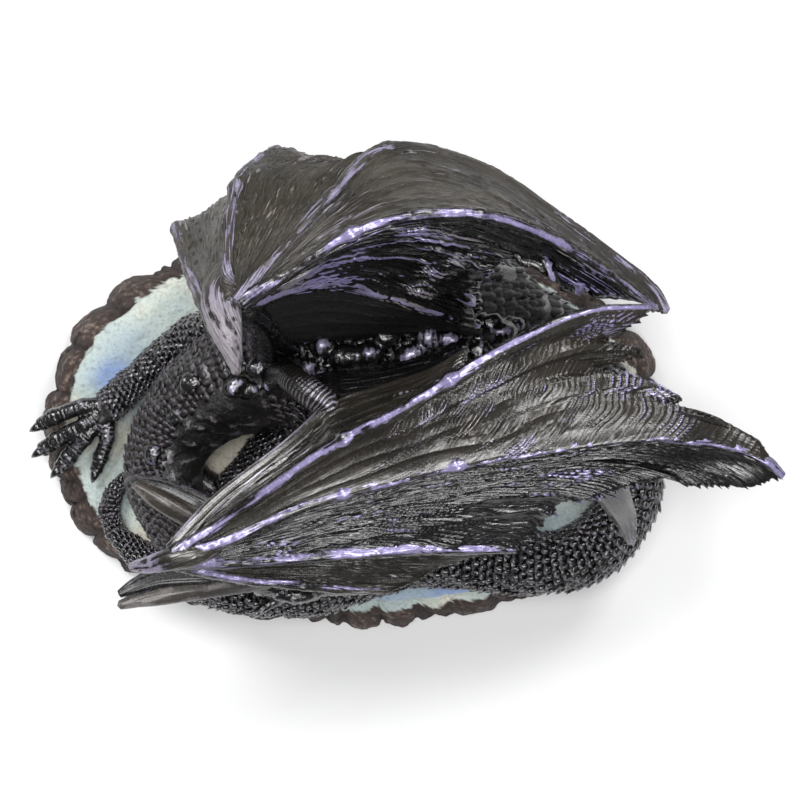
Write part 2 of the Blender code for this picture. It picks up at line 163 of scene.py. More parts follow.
def cast(name, parts, material, lift=0.0):
    """Join parts (points in mm, faces, brush, grain) into one closed piece of the statue.
    grain is the run of the wrinkles in mm, kept as a UV map."""
    points, faces, brush, grain, start = [], [], [], [], 0
    for p, f, b, g in parts:
        points.append(np.asarray(p, float).reshape(-1, 3))
        count = len(points[-1])
        faces += [tuple(i + start for i in face) for face in f]
        brush.append(np.broadcast_to(np.asarray(b, float), (count, 3)))
        grain.append(np.zeros((count, 2)) if g is None else np.asarray(g, float).reshape(-1, 2))
        start += count
    points = np.vstack(points) / 1000 + (0, 0, lift)
    brush = np.hstack([np.clip(np.vstack(brush), 0, 1), np.ones((start, 1))])
    mesh = bpy.data.meshes.new(name)
    mesh.from_pydata(points.tolist(), [], faces)
    form = bmesh.new()
    form.from_mesh(mesh)
    bmesh.ops.recalc_face_normals(form, faces=form.faces[:])
    form.to_mesh(mesh)
    form.free()
    mesh.attributes.new("brush", "FLOAT_COLOR", "POINT").data.foreach_set("color", brush.ravel())
    corner = np.empty(len(mesh.loops), int)
    mesh.loops.foreach_get("vertex_index", corner)
    layer = mesh.uv_layers.new(name="grain")
    layer.data.foreach_set("uv", (np.vstack(grain)[corner] / 10).ravel())
    mesh.shade_smooth()
    mesh.materials.append(material)
    piece = bpy.data.objects.new(name, mesh)
    bpy.context.scene.collection.objects.link(piece)
    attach(piece, "root")
    return piece


def oval(turn, half_length, half_width):
    """How far the rock's oval reaches at an angle."""
    reach = (abs(np.cos(turn) / half_length) ** OVAL_POWER
             + abs(np.sin(turn) / half_width) ** OVAL_POWER)
    return reach ** (-1 / OVAL_POWER)


def stone(turn, level):
    """How far the rock is broken back at an angle and a level of the rim, 0 to 1."""
    stones = math.pi * (ROCK_LENGTH + ROCK_WIDTH) / 2 / STONE_PITCH / math.tau
    spot = Vector((math.cos(turn) * stones, math.sin(turn) * stones, 0.45 + level * 0.05))
    near, core = noise.voronoi(spot)
    dip = 1.0 - min(1.0, 1.15 * (near[1] - near[0]))
    return min(1.0, 1.0 - math.sqrt(1.0 - dip ** 2)
               + 0.25 * (0.5 + 0.5 * noise.cell(core[0] * 9.1)))


# The snow is a square grid drawn out to the oval, and its border is broken back with the stones.
cells = np.linspace(-1, 1, SNOW_CELLS + 1)
gu, gv = np.meshgrid(cells, cells, indexing="ij")
dx, dy = gu * np.sqrt(1 - gv ** 2 / 2), gv * np.sqrt(1 - gu ** 2 / 2)
half_l, half_w = ROCK_LENGTH / 2 - RIM_WIDTH, ROCK_WIDTH / 2 - RIM_WIDTH
sx, sy = dx * half_l, dy * half_w
turn = np.arctan2(sy, sx)
ellipse = (np.cos(turn) ** 2 / half_l ** 2 + np.sin(turn) ** 2 / half_w ** 2) ** -0.5
edge_share = np.hypot(sx, sy) / ellipse
border = ([(i, 0) for i in range(SNOW_CELLS)] + [(SNOW_CELLS, j) for j in range(SNOW_CELLS)]
          + [(i, SNOW_CELLS) for i in range(SNOW_CELLS, 0, -1)]
          + [(0, j) for j in range(SNOW_CELLS, 0, -1)])
cut_at = {ij: stone(turn[ij], 6.0) for ij in border}
rim_cut = np.array([cut_at[ij] for ij in border])
rim_turn = np.array([turn[ij] for ij in border])
order = np.argsort(rim_turn)
snow_cut = np.interp(turn.ravel(), rim_turn[order], rim_cut[order], period=math.tau)
snow_cut = snow_cut.reshape(turn.shape)
grow = (oval(turn, half_l, half_w) - STONE_DEPTH * 0.25 * snow_cut) / ellipse
sx, sy = sx * (1 + (grow - 1) * edge_share ** 4), sy * (1 + (grow - 1) * edge_share ** 4)
drift = cloud(sx / 26 + 9, sy / 26 + 9, 3, 3) * 0.5 + cloud(sx / 2.6, sy / 2.6, 5, 2) * 0.32
sz = ROCK_HEIGHT + drift * np.clip((1 - edge_share) * 12, 0.25, 1) - 0.8 * edge_share ** 30
snow_points = np.stack([sx, sy, sz], axis=-1)
blue_and_painted_light = 0.12 + 0.1 * cloud(sx / 17, sy / 17, 8, 2)
# A negative depth paints the snow lighter cream: a painted light where it lies in shade.
for px, py, size, depth in SNOW_BLUE_AND_PAINTED_LIGHT:
    blue_and_painted_light = blue_and_painted_light + depth * np.exp(-((sx - px) ** 2 + (sy - py) ** 2) / size ** 2)


def snowed(away, angle):
    """1 where the snow paint reaches: it laps over the rim, most at the front left."""
    angle = np.asarray(angle) % math.tau
    lap = np.interp(np.degrees(angle), list(SNOW_LAP), list(SNOW_LAP.values()))
    edge = oval(angle, half_l, half_w)
    ragged = cloud(angle * 17, 0 * angle + away / 9, 9, 3) * 2.0
    return (away < edge + lap + ragged) * 1.0


number = np.arange((SNOW_CELLS + 1) ** 2).reshape(SNOW_CELLS + 1, -1)
quads = np.stack([number[:-1, :-1], number[1:, :-1], number[1:, 1:], number[:-1, 1:]], -1)
rock_faces = [tuple(q) for q in quads.reshape(-1, 4).tolist()]
rock_points = snow_points.reshape(-1, 3).tolist()
rock_brush = brush_of(0.4, blue_and_painted_light, snowed(np.hypot(sx, sy), turn)).reshape(-1, 3).tolist()

# The rim goes down from that border in rings, chipped and gritty, and closes on the underside.
profile = np.array(RIM_PROFILE)
ring = [number[ij] for ij in border]
for row in range(1, RIM_ROWS + 1):
    at = (len(profile) - 1) * row / RIM_ROWS
    out, z, share, level = [np.interp(at, range(len(profile)), c) for c in profile.T]
    new_ring = []
    for angle in rim_turn:
        a, b = half_l + RIM_WIDTH * out, half_w + RIM_WIDTH * out
        cut = stone(angle, level)
        spot = Vector((math.cos(angle) * a, math.sin(angle) * b, z)) / CHIP_PITCH
        near, core = noise.voronoi(spot)
        chip = noise.cell(core[0] * 5.3) * 0.6 - max(0.0, 0.5 - 2 * (near[1] - near[0]))
        grit = noise.noise(spot * 5.0) * 0.25
        away = (oval(angle, a, b) - STONE_DEPTH * share * cut
                + (chip + grit) * CHIP_DEPTH * (1.0 if row > 1 else 0.3))
        away = min(away, oval(angle, half_l + RIM_WIDTH, half_w + RIM_WIDTH))
        drop = STONE_DEPTH * 0.4 * share * cut - (chip + grit) * CHIP_DEPTH * 0.5
        height = min(max(z - (drop if row < RIM_ROWS else 0), 0.0), ROCK_HEIGHT + 0.6)
        new_ring.append(len(rock_points))
        rock_points.append((away * math.cos(angle), away * math.sin(angle), height))
        # Darker where the stone is broken back and in the cracks between chips: painted shade.
        # The chips' own spread of tone is real.
        rock_brush.append((0.39 + 0.12 * chip - 0.3 * cut + grit, 0.2,
                           float(snowed(away, angle)) if height > 14 else 0.0))
    for k in range(len(ring)):
        n = (k + 1) % len(ring)
        rock_faces.append((ring[k], new_ring[k], new_ring[n], ring[n]))
    ring = new_ring
rock_faces.append(tuple(ring))

# Rock and snow paint. Matt acrylic over resin: brown stone with scuffed edges, darker in the
# cracks and notches as painted shade, and chalky snow stippled in cream, aqua and pale blue,
# with fine dark pits.
rock_paint = bpy.data.materials.new("matt_acrylic_on_rock_and_snow")
rock_paint.use_nodes = True
tree = rock_paint.node_tree
tree.nodes.remove(tree.nodes["Principled BSDF"])
where = add(tree, "ShaderNodeTexCoord").outputs["Object"]
brushed = add(tree, "ShaderNodeAttribute", attribute_name="brush")
channel = add(tree, "ShaderNodeSeparateColor", {"Color": brushed.outputs["Color"]})
tone = add(tree, "ShaderNodeTexNoise", {"Vector": where, "Scale": 1000 / SNOW_TINT,
                                        "Detail": 3.0})
# The snow's blueness, lowered to cream where the painted light lies.
blue_and_painted_light = add(tree, "ShaderNodeMath", {0: tone.outputs["Fac"], 1: 0.5, 2: channel.outputs["Green"]},
           operation="MULTIPLY_ADD")
snow_zone = add(tree, "ShaderNodeValToRGB", {"Fac": blue_and_painted_light.outputs["Value"]})
ramp = snow_zone.color_ramp
ramp.elements[0].position, ramp.elements[0].color = 0.30, linear("#d8d0bf")
ramp.elements[1].position, ramp.elements[1].color = 1.0, linear("#8ba1cc")
ramp.elements.new(0.46).color = linear("#bac5bf")
ramp.elements.new(0.70).color = linear("#a6b7c0")
stipple = add(tree, "ShaderNodeTexNoise", {"Vector": where, "Scale": 1000 / SNOW_STIPPLE,
                                           "Detail": 4.0, "Roughness": 0.7})
stipple_mask = add(tree, "ShaderNodeMapRange", {"Value": stipple.outputs["Fac"],
                                                "From Min": 0.30, "From Max": 0.52,
                                                "To Min": 0.45})
snow_color = add(tree, "ShaderNodeMix", {0: stipple_mask.outputs["Result"]}, data_type="RGBA")
tree.links.new(snow_zone.outputs["Color"], snow_color.inputs[7])
snow_color.inputs[6].default_value = linear("#6f7571")
rock_tone = add(tree, "ShaderNodeTexNoise", {"Vector": where, "Scale": 1000 / STONE_GRIT,
                                             "Detail": 6.0, "Roughness": 0.7})
rock_shade = add(tree, "ShaderNodeMath", {0: channel.outputs["Red"],
                                          1: rock_tone.outputs["Fac"]}, operation="ADD")
rock_color = add(tree, "ShaderNodeValToRGB", {"Fac": rock_shade.outputs["Value"]})
ramp = rock_color.color_ramp
ramp.elements[0].position, ramp.elements[0].color = 0.45, linear("#17100d")
ramp.elements[1].position, ramp.elements[1].color = 1.2, linear("#77695f")
ramp.elements.new(0.8).color = linear("#3d312c")
surface = add(tree, "ShaderNodeMix", {0: channel.outputs["Blue"]}, data_type="RGBA")
tree.links.new(rock_color.outputs["Color"], surface.inputs[6])
tree.links.new(snow_color.outputs[2], surface.inputs[7])
bump = add(tree, "ShaderNodeBump", {"Height": rock_tone.outputs["Fac"], "Strength": 0.9,
                                    "Distance": 0.0015})
shader = add(tree, "ShaderNodeBsdfPrincipled", {"Base Color": surface.outputs[2],
                                                "Roughness": 0.72,
                                                "Normal": bump.outputs["Normal"]})
tree.links.new(shader.outputs["BSDF"], tree.nodes["Material Output"].inputs["Surface"])

rock = cast("rock_base_cast", [(rock_points, rock_faces, rock_brush, None)], rock_paint)
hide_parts("rock_base")


# The dragon's body: neck, torso, tail and limbs in one resin casting, curled round the rock.
# The neck curls round the left end to the front, the tail round the right end and along the
# front. Painted gloss black, with grey rubbed over the high points.

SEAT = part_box("rock_base")[1][2] + 0.0003                       # the dragon is glued on here

NECK = [(-32, -49, 37, 10), (-52, -43, 35, 11.5), (-64, -33, 30, 12.6), (-70, -20, 25, 13.8),
        (-68, -6, 23, 15), (-58, 8, 25, 17.5), (-44, 17, 28, 20)]
TORSO = [(-25, 24, 29, 23.5), (-3, 27, 29, 26), (21, 30, 28, 26.5), (43, 31, 27, 25.5),
         (64, 29, 23, 22.5)]
TAIL = [(82, 19, 17, 17), (96, 5, 12, 13.6), (103, -10, 10, 12.1), (103, -27, 10, 11.6),
        (91, -44, 10, 11.5), (70, -51, 10, 11.3), (36, -49, 9, 10.6), (12, -51, 9, 10.3),
        (-12, -60, 8, 9.8), (-39, -61, 8, 9), (-66, -55, 7, 7), (-84, -45, 6, 5),
        (-91, -36, 4, 3.9), (-91, -26, 4, 3.7), (-85, -18, 3, 2.6)]
FORELEG_OUT = [(-35, 28, 28, 12), (-47, 34, 25, 9.5), (-57, 35, 19, 7.8), (-68, 29, 13, 6.6),
               (-78, 21, 9, 6), (-87, 13, 8, 6), (-93, 8, 8, 6)]
FORELEG_IN = [(-17, 9, 24, 12), (-26, -4, 16, 9.5), (-37, -17.5, 10, 9.3), (-48, -27, 8, 8),
              (-56, -34, 6, 6.5)]
HAUNCHES = [[(34, 34, 24, 15), (52, 42, 22, 19), (64, 38, 18, 14)],
            [(36, 16, 20, 15), (54, 2, 17, 18), (66, 10, 14, 13)]]
HINDLEGS = [[(58, 50, 13, 11), (42, 60, 11, 9), (28, 63, 7, 6.5), (14, 61, 5, 5.5)],
            [(56, -8, 13, 11), (40, -17, 11, 9), (27, -22, 7, 6.5), (13, -24, 5, 5.5)]]
BACKBONE = NECK + TORSO + TAIL
PALM_OUT = [(-86, 13, 8, 6), (-94, 5, 7, 5.6), (-101, 1, 6, 4.4)]
NECK_CREASE = [(-64, -13, 12, 6), (-57.5, -19.5, 9, 5.5), (-49, -26, 8, 6)]


def smooth_path(points, count):
    """Evenly spaced points along the smooth curve through the given ones."""
    p = np.array(points, dtype=float)
    p = np.vstack([2 * p[0] - p[1], p, 2 * p[-1] - p[-2]])
    t = np.linspace(0, 1, 24, endpoint=False)[:, None]
    fine = [0.5 * (2 * b + (c - a) * t + (2 * a - 5 * b + 4 * c - d) * t ** 2
                   + (3 * b - a - 3 * c + d) * t ** 3)
            for a, b, c, d in zip(p, p[1:], p[2:], p[3:])]
    fine = np.vstack(fine + [p[-2:-1]])
    run = np.concatenate([[0], np.cumsum(np.linalg.norm(np.diff(fine[:, :3], axis=0), axis=1))])
    at = np.linspace(0, run[-1], count)
    return np.array([np.interp(at, run, column) for column in fine.T]).T


def course(points, step):
    """Places, radii, run in mm, heading, side and upward direction along a smooth path."""
    length = np.linalg.norm(np.diff(np.array(points)[:, :3], axis=0), axis=1).sum()
    path = smooth_path(points, max(5, int(length / step) + 1))
    ahead = np.gradient(path[:, :3], axis=0)
    ahead /= np.linalg.norm(ahead, axis=1, keepdims=True)
    up = np.array((0.0, 0.0, 1.0)) if abs(ahead[:, 2]).max() < 0.9 else np.array((0.0, 1.0, 0.1))
    side = np.cross(ahead, up)
    side /= np.linalg.norm(side, axis=1, keepdims=True)
    run = np.linspace(0, length, len(path))
    return path[:, :3], path[:, 3], run, ahead, side, np.cross(side, ahead)


def limb(points, step=1.5, sides=28, relief=None, wide=1.0, tall=1.0, brush=(0.3, 0.0, 0.0)):
    """A closed limb: rings along a smooth path. relief(run, turn, radius) gives the mm that are
    added to the radius, and the brush; wide and tall flatten the rings."""
    place, radius, run, ahead, side, top = course(points, step)
    turn = np.linspace(0, math.tau, sides, endpoint=False)
    rise, paint = np.zeros((len(place), sides)), None
    if relief:
        rise, paint = relief(*np.broadcast_arrays(run[:, None], turn[None], radius[:, None]))
    full = radius[:, None] + rise
    ring = (side[:, None] * (np.cos(turn)[None, :, None] * wide)
            + top[:, None] * (np.sin(turn)[None, :, None] * tall))
    points = place[:, None] + ring * full[..., None]
    n = len(place)
    number = np.arange(n * sides).reshape(n, sides)
    after = np.roll(number, -1, axis=1)
    quads = np.stack([number[:-1], number[1:], after[1:], after[:-1]], -1).reshape(-1, 4)
    ends = [place[0] - ahead[0] * radius[0] * 0.6, place[-1] + ahead[-1] * radius[-1] * 0.6]
    faces = quads.tolist()
    faces += [(n * sides, number[0, k], after[0, k]) for k in range(sides)]
    faces += [(n * sides + 1, after[-1, k], number[-1, k]) for k in range(sides)]
    grain = np.stack([turn[None] * radius[:, None], run[:, None] + 0 * turn], -1).reshape(-1, 2)
    grain = np.vstack([grain, grain[:1], grain[-1:]])
    if paint is None:
        paint = np.broadcast_to(np.asarray(brush, float), (n, sides, 3))
    paint = paint.reshape(-1, 3)
    return (np.vstack([points.reshape(-1, 3), ends]), faces,
            np.vstack([paint, paint[:1], paint[-1:]]), grain)


def melted(parts, cell, soften):
    """Melt overlapping parts into one skin, as clay is blended, and return points, faces and
    outward directions."""
    points, faces, start = [], [], 0
    for p, f, *_ in parts:
        points += p.tolist()
        faces += [tuple(i + start for i in face) for face in f]
        start += len(p)
    clay_mesh = bpy.data.meshes.new("clay")
    clay_mesh.from_pydata(points, [], faces)
    clay = bpy.data.objects.new("clay", clay_mesh)
    bpy.context.scene.collection.objects.link(clay)
    melt = clay.modifiers.new("Melt", "REMESH")
    melt.mode, melt.voxel_size = "VOXEL", cell
    smooth = clay.modifiers.new("Soften", "SMOOTH")
    smooth.factor, smooth.iterations = 0.5, soften
    skin = bpy.data.meshes.new_from_object(
        clay.evaluated_get(bpy.context.evaluated_depsgraph_get()))
    bpy.data.objects.remove(clay)
    co = np.empty(len(skin.vertices) * 3)
    skin.vertices.foreach_get("co", co)
    out = np.empty(len(skin.vertices) * 3)
    skin.vertices.foreach_get("normal", out)
    faces = [tuple(p.vertices) for p in skin.polygons]
    bpy.data.meshes.remove(skin)
    return co.reshape(-1, 3), faces, out.reshape(-1, 3)


def folded_toes():
    """Three toes on each hind paw and on the folded forepaw."""
    toes = []
    for leg in HINDLEGS + [FORELEG_IN]:
        heel, foot = np.array(leg[-2][:3], float), np.array(leg[-1][:3], float)
        ahead = (foot - heel) / np.linalg.norm(foot - heel)
        side = np.array((-ahead[1], ahead[0], 0.0))
        for spread in (-0.5, 0.0, 0.5):
            run = ahead + side * spread
            run[2] = 0
            run /= np.linalg.norm(run)
            toe = [(*(foot + run * d), r) for d, r in ((0, 3.2), (6, 2.8), (11, 2.6), (16, 1.3))]
            toes.append([(x, y, z * (1 - 0.16 * k), r) for k, (x, y, z, r) in enumerate(toe)])
    return toes


legs = [FORELEG_OUT, FORELEG_IN] + HAUNCHES + HINDLEGS
body_points, body_faces, body_out = melted(
    [limb(BACKBONE, 2.0, 44)] + [limb(leg, 2.0, 28) for leg in legs]
    + [limb(extra, 2.0, 20) for extra in (PALM_OUT, NECK_CREASE)], 1.15, 6)
low = body_points[:, 2] < 0
body_points[low, 2] = 0
x, y, z = body_points.T
lumps = cloud(x / 2.6 + z / 5, y / 2.6 + z / 4, 11, 2)
folds = cloud(x / 9 + z / 7, y / 9 - z / 8, 12, 2)
body_points = body_points + body_out * ((lumps * 0.4 + folds * 0.5) * ~low)[:, None]
body_brush = brush_of(0.2 + 0.55 * lumps, 0.3, 0.2)
body_tree = BVHTree.FromPolygons([Vector(p) for p in body_points], body_faces)


PAINT_SPECK, PAINT_PATCH = 1.25, 18.18                          # mm, size of the paint's mottle
CREASE_WIDTH, CREASE_LENGTH = 0.8333, 14.286                    # mm, fine creases of the skins


def resin_paint(name, undercoat, rubbed, olive, roughness, lines=0.0, plain="#4e4944",
                pearl=0.0, gloss=0.3, grit=0.8, dust=0.7):
    """Paint on cast resin. The undercoat is rubbed over with a lighter pearl on the high
    points, which gives bright crests over black: rubbed where the brush has lavender, plain
    where it has none. olive tints the thinly painted skins, and on the wing skins that tint
    is also a painted sheen, standing in for the softboxes' reflection. lines is how strongly
    fine creases along the grain catch the brush, pearl how metallic the rubbed paint is and
    dust how broken. gloss is the clear lacquer, grit the depth of the fine roughness."""
    paint = bpy.data.materials.new(name)
    paint.use_nodes = True
    tree = paint.node_tree
    tree.nodes.remove(tree.nodes["Principled BSDF"])
    where = add(tree, "ShaderNodeTexCoord").outputs["Object"]
    brush = add(tree, "ShaderNodeAttribute", attribute_name="brush")
    channel = add(tree, "ShaderNodeSeparateColor", {"Color": brush.outputs["Color"]})
    speck = add(tree, "ShaderNodeTexNoise", {"Vector": where, "Scale": 1000 / PAINT_SPECK,
                                             "Detail": 4.0, "Roughness": 0.65})
    patch = add(tree, "ShaderNodeTexNoise", {"Vector": where, "Scale": 1000 / PAINT_PATCH,
                                             "Detail": 3.0})
    relief = channel.outputs["Red"]
    height = speck.outputs["Fac"]
    if lines:
        grain = add(tree, "ShaderNodeUVMap", uv_map="grain")
        stretch = add(tree, "ShaderNodeMapping", {
            "Vector": grain.outputs["UV"], "Scale": (10 / CREASE_WIDTH, 10 / CREASE_LENGTH, 1.0)})
        crease = add(tree, "ShaderNodeTexNoise", {"Vector": stretch.outputs["Vector"],
                                                  "Scale": 1.0, "Detail": 1.5,
                                                  "Roughness": 0.5, "Distortion": 0.2})
        crest = add(tree, "ShaderNodeMapRange", {"Value": crease.outputs["Fac"],
                                                 "From Min": 0.50, "From Max": 0.64})
        fine = add(tree, "ShaderNodeMath", {0: crest.outputs["Result"], 1: lines, 2: relief},
                   operation="MULTIPLY_ADD")
        relief = fine.outputs["Value"]
        both = add(tree, "ShaderNodeMath", {0: height, 1: dust, 2: crest.outputs["Result"]},
                   operation="MULTIPLY_ADD")
        height = both.outputs["Value"]
    broken = add(tree, "ShaderNodeMath", {0: speck.outputs["Fac"], 1: dust, 2: relief},
                 operation="MULTIPLY_ADD")
    mask = add(tree, "ShaderNodeMapRange", {"Value": broken.outputs["Value"],
                                            "From Min": dust / 2 + 0.43,
                                            "From Max": dust / 2 + 0.73})
    thin = add(tree, "ShaderNodeMath", {0: patch.outputs["Fac"], 1: channel.outputs["Blue"]},
               operation="MULTIPLY")
    veil = add(tree, "ShaderNodeMapRange", {"Value": thin.outputs["Value"], "From Min": 0.05,
                                            "From Max": 0.55})
    base = add(tree, "ShaderNodeMix", {0: veil.outputs["Result"]}, data_type="RGBA")
    base.inputs[6].default_value = linear(undercoat)
    base.inputs[7].default_value = linear(olive)
    tint = add(tree, "ShaderNodeMix", {0: channel.outputs["Green"]}, data_type="RGBA")
    tint.inputs[6].default_value = linear(plain)
    tint.inputs[7].default_value = linear(rubbed)
    color = add(tree, "ShaderNodeMix", {0: mask.outputs["Result"], 6: base.outputs[2],
                                        7: tint.outputs[2]}, data_type="RGBA")
    rough = add(tree, "ShaderNodeMapRange", {"Value": speck.outputs["Fac"], "From Min": 0.3,
                                             "From Max": 0.7, "To Min": roughness - 0.08,
                                             "To Max": roughness + 0.12})
    gleam = add(tree, "ShaderNodeMath", {0: mask.outputs["Result"], 1: pearl},
                operation="MULTIPLY")
    bump = add(tree, "ShaderNodeBump", {"Height": height, "Strength": grit, "Distance": 0.0006})
    shader = add(tree, "ShaderNodeBsdfPrincipled", {"Base Color": color.outputs[2],
                                                    "Roughness": rough.outputs["Result"],
                                                    "Metallic": gleam.outputs["Value"],
                                                    "Normal": bump.outputs["Normal"],
                                                    "Coat Weight": gloss,
                                                    "Coat Roughness": 0.12})
    tree.links.new(shader.outputs["BSDF"], tree.nodes["Material Output"].inputs["Surface"])
    return paint


# Gloss black enamel on resin: wet-looking black that shows the softboxes in every scale, with
# grey rubbed over the crests.
black_enamel = resin_paint("gloss_black_enamel_on_resin", "#0b0a09", "#9089a6", "#2b2925", 0.18,
                           plain="#6d675f", pearl=0.3, gloss=0.6, grit=0.4)
# Satin black on the bare skin between the scales: rough as the modelled clay was.
black_skin = resin_paint("satin_black_acrylic_on_resin", "#0c0b0a", "#8a8499", "#25221f", 0.30,
                         plain="#57514a", pearl=0.1, grit=1.0)
# Matt black in the hollow of the raised wing and on the hip below it: painted shade, dark where
# the wing shades them.
shade_black = resin_paint("matt_black_painted_shade_on_resin", "#080807", "#55505f", "#1a1815", 0.6,
                   plain="#37332f", gloss=0.0)


def cast_dragon(name, parts, paint):
    """One piece of the dragon's casting, where the dragon sits on the rock."""
    return cast(name, parts, paint, SEAT)


body = cast_dragon("dragon_body", [(body_points, body_faces, body_brush, None)], black_skin)
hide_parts("dragon")


# Scales and backbone knobs. The body is covered with overlapping round scales, modelled in the
# clay before it was cast: coarsest at the root of the tail, finer to its tip and on the legs. A
# row of glossy knobs runs along the backbone.

SCALES_NECK, SCALES_TORSO, SCALES_TAIL = (4.4, 3.6), (4.4, 3.8), (6.3, 5.7)     # mm
SCALES_LIMBS = (3.3, 3.0, 4.0, 4.0, 3.4, 3.4)                   # mm wide, for each limb
HIP_FROM, HIP_TO, HIP_SIDE = 0.045, 0.12, 0.022                 # m, the hip under the wing
KNOBS_AT = [61, 80, 92, 104, *np.arange(113, 206, 7.6), 213, 220, 226]     # mm of the backbone


def scale_rows(name):
    """The tree that lays its shape on every spot, turned by lay and sized by girth, each a
    little larger or smaller than the next."""
    tree = bpy.data.node_groups.new(name, "GeometryNodeTree")
    wanted = {"Spots": "NodeSocketGeometry", "Shape": "NodeSocketObject",
              "Size spread": "NodeSocketFloat", "Seed": "NodeSocketInt",
              "Paint": "NodeSocketMaterial"}
    for socket, kind in wanted.items():
        tree.interface.new_socket(socket, in_out="INPUT", socket_type=kind)
    tree.interface.new_socket("Rows", in_out="OUTPUT", socket_type="NodeSocketGeometry")
    given = add(tree, "NodeGroupInput").outputs
    lay = add(tree, "GeometryNodeInputNamedAttribute", {"Name": "lay"}, data_type="QUATERNION")
    girth = add(tree, "GeometryNodeInputNamedAttribute", {"Name": "girth"},
                data_type="FLOAT_VECTOR")
    least = add(tree, "ShaderNodeMath", {0: 1.0, 1: given["Size spread"]}, operation="SUBTRACT")
    most = add(tree, "ShaderNodeMath", {0: 1.0, 1: given["Size spread"]}, operation="ADD")
    chance = add(tree, "FunctionNodeRandomValue", {"Seed": given["Seed"]}, data_type="FLOAT")
    tree.links.new(least.outputs["Value"], chance.inputs[2])
    tree.links.new(most.outputs["Value"], chance.inputs[3])
    size = add(tree, "ShaderNodeVectorMath", {0: girth.outputs["Attribute"],
                                              "Scale": chance.outputs[1]}, operation="SCALE")
    one = add(tree, "GeometryNodeObjectInfo", {"Object": given["Shape"]})
    copies = add(tree, "GeometryNodeInstanceOnPoints", {
        "Points": given["Spots"], "Instance": one.outputs["Geometry"],
        "Rotation": lay.outputs["Attribute"], "Scale": size.outputs["Vector"]})
    real = add(tree, "GeometryNodeRealizeInstances", {"Geometry": copies.outputs["Instances"]})
    dressed = add(tree, "GeometryNodeSetMaterial", {"Geometry": real.outputs["Geometry"],
                                                    "Material": given["Paint"]})
    add(tree, "NodeGroupOutput", {"Rows": dressed.outputs["Geometry"]})
    return tree


def laid(name, spots, shape, material, size_spread, seed):
    """Lay a copy of the shape on every spot (place, outward, heading, size) and return the
    plain mesh piece."""
    points = bpy.data.meshes.new(name)
    points.from_pydata([tuple(s[0]) for s in spots], [], [])
    turns, sizes = [], []
    for _, out, ahead, size in spots:
        z = Vector(out).normalized()
        y = z.cross(Vector(ahead)).normalized()
        turns += list(Matrix((y.cross(z), y, z)).transposed().to_quaternion())
        sizes += list(size)
    points.attributes.new("lay", "QUATERNION", "POINT").data.foreach_set("value", turns)
    points.attributes.new("girth", "FLOAT_VECTOR", "POINT").data.foreach_set("vector", sizes)
    piece = bpy.data.objects.new(name, points)
    bpy.context.scene.collection.objects.link(piece)
    rows = piece.modifiers.new("Rows", "NODES")
    rows.node_group = scale_rows(name + "_rows")
    values = {"Shape": shape, "Size spread": size_spread, "Seed": seed, "Paint": material}
    for socket in rows.node_group.interface.items_tree:
        if socket.in_out == "INPUT" and socket.name in values:
            rows[socket.identifier] = values[socket.name]
    mesh = bpy.data.meshes.new_from_object(
        piece.evaluated_get(bpy.context.evaluated_depsgraph_get()))
    piece.modifiers.clear()
    piece.data = mesh
    mesh.name = name
    mesh.shade_smooth()
    for spare in ("lay", "girth"):
        if spare in mesh.attributes:
            mesh.attributes.remove(mesh.attributes[spare])
    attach(piece, "root")
    return piece


def pattern(name, points, faces, crest, lavender):
    """A small shape to lay many times; crest is the relief of each point for the brush."""
    mesh = bpy.data.meshes.new(name)
    mesh.from_pydata([tuple(c / 1000 for c in p) for p in points], [], faces)
    brush = np.array([(c, lavender, 0.0, 1.0) for c in crest], float)
    mesh.attributes.new("brush", "FLOAT_COLOR", "POINT").data.foreach_set("color", brush.ravel())
    shape = bpy.data.objects.new(name, mesh)
    bpy.context.scene.collection.objects.link(shape)
    return shape


# One scale, about a unit long and wide: a low shield whose tip is raised over the next row.
scale_rim = [(-0.45, 0.0, -0.06), (-0.28, -0.42, -0.04), (0.06, -0.55, 0.02),
             (0.38, -0.42, 0.09), (0.60, -0.15, 0.15), (0.60, 0.15, 0.15), (0.38, 0.42, 0.09),
             (0.06, 0.55, 0.02), (-0.28, 0.42, -0.04)]
scale_points = scale_rim + [(-0.02, 0.0, 0.13), (0.34, 0.0, 0.19), (0.1, 0.0, -0.25)]
scale_faces = [(0, 1, 9), (1, 2, 9), (2, 10, 9), (2, 3, 10), (3, 4, 10), (4, 5, 10), (5, 6, 10),
               (6, 7, 10), (7, 9, 10), (7, 8, 9), (8, 0, 9)]
scale_faces += [(b, a, 11) for a, b in zip(range(9), [*range(1, 9), 0])]
scale = pattern("scale", scale_points, scale_faces,
                [0.0, 0.05, 0.3, 0.6, 0.75, 0.75, 0.6, 0.3, 0.05, 0.15, 0.4, 0.0], 0.45)


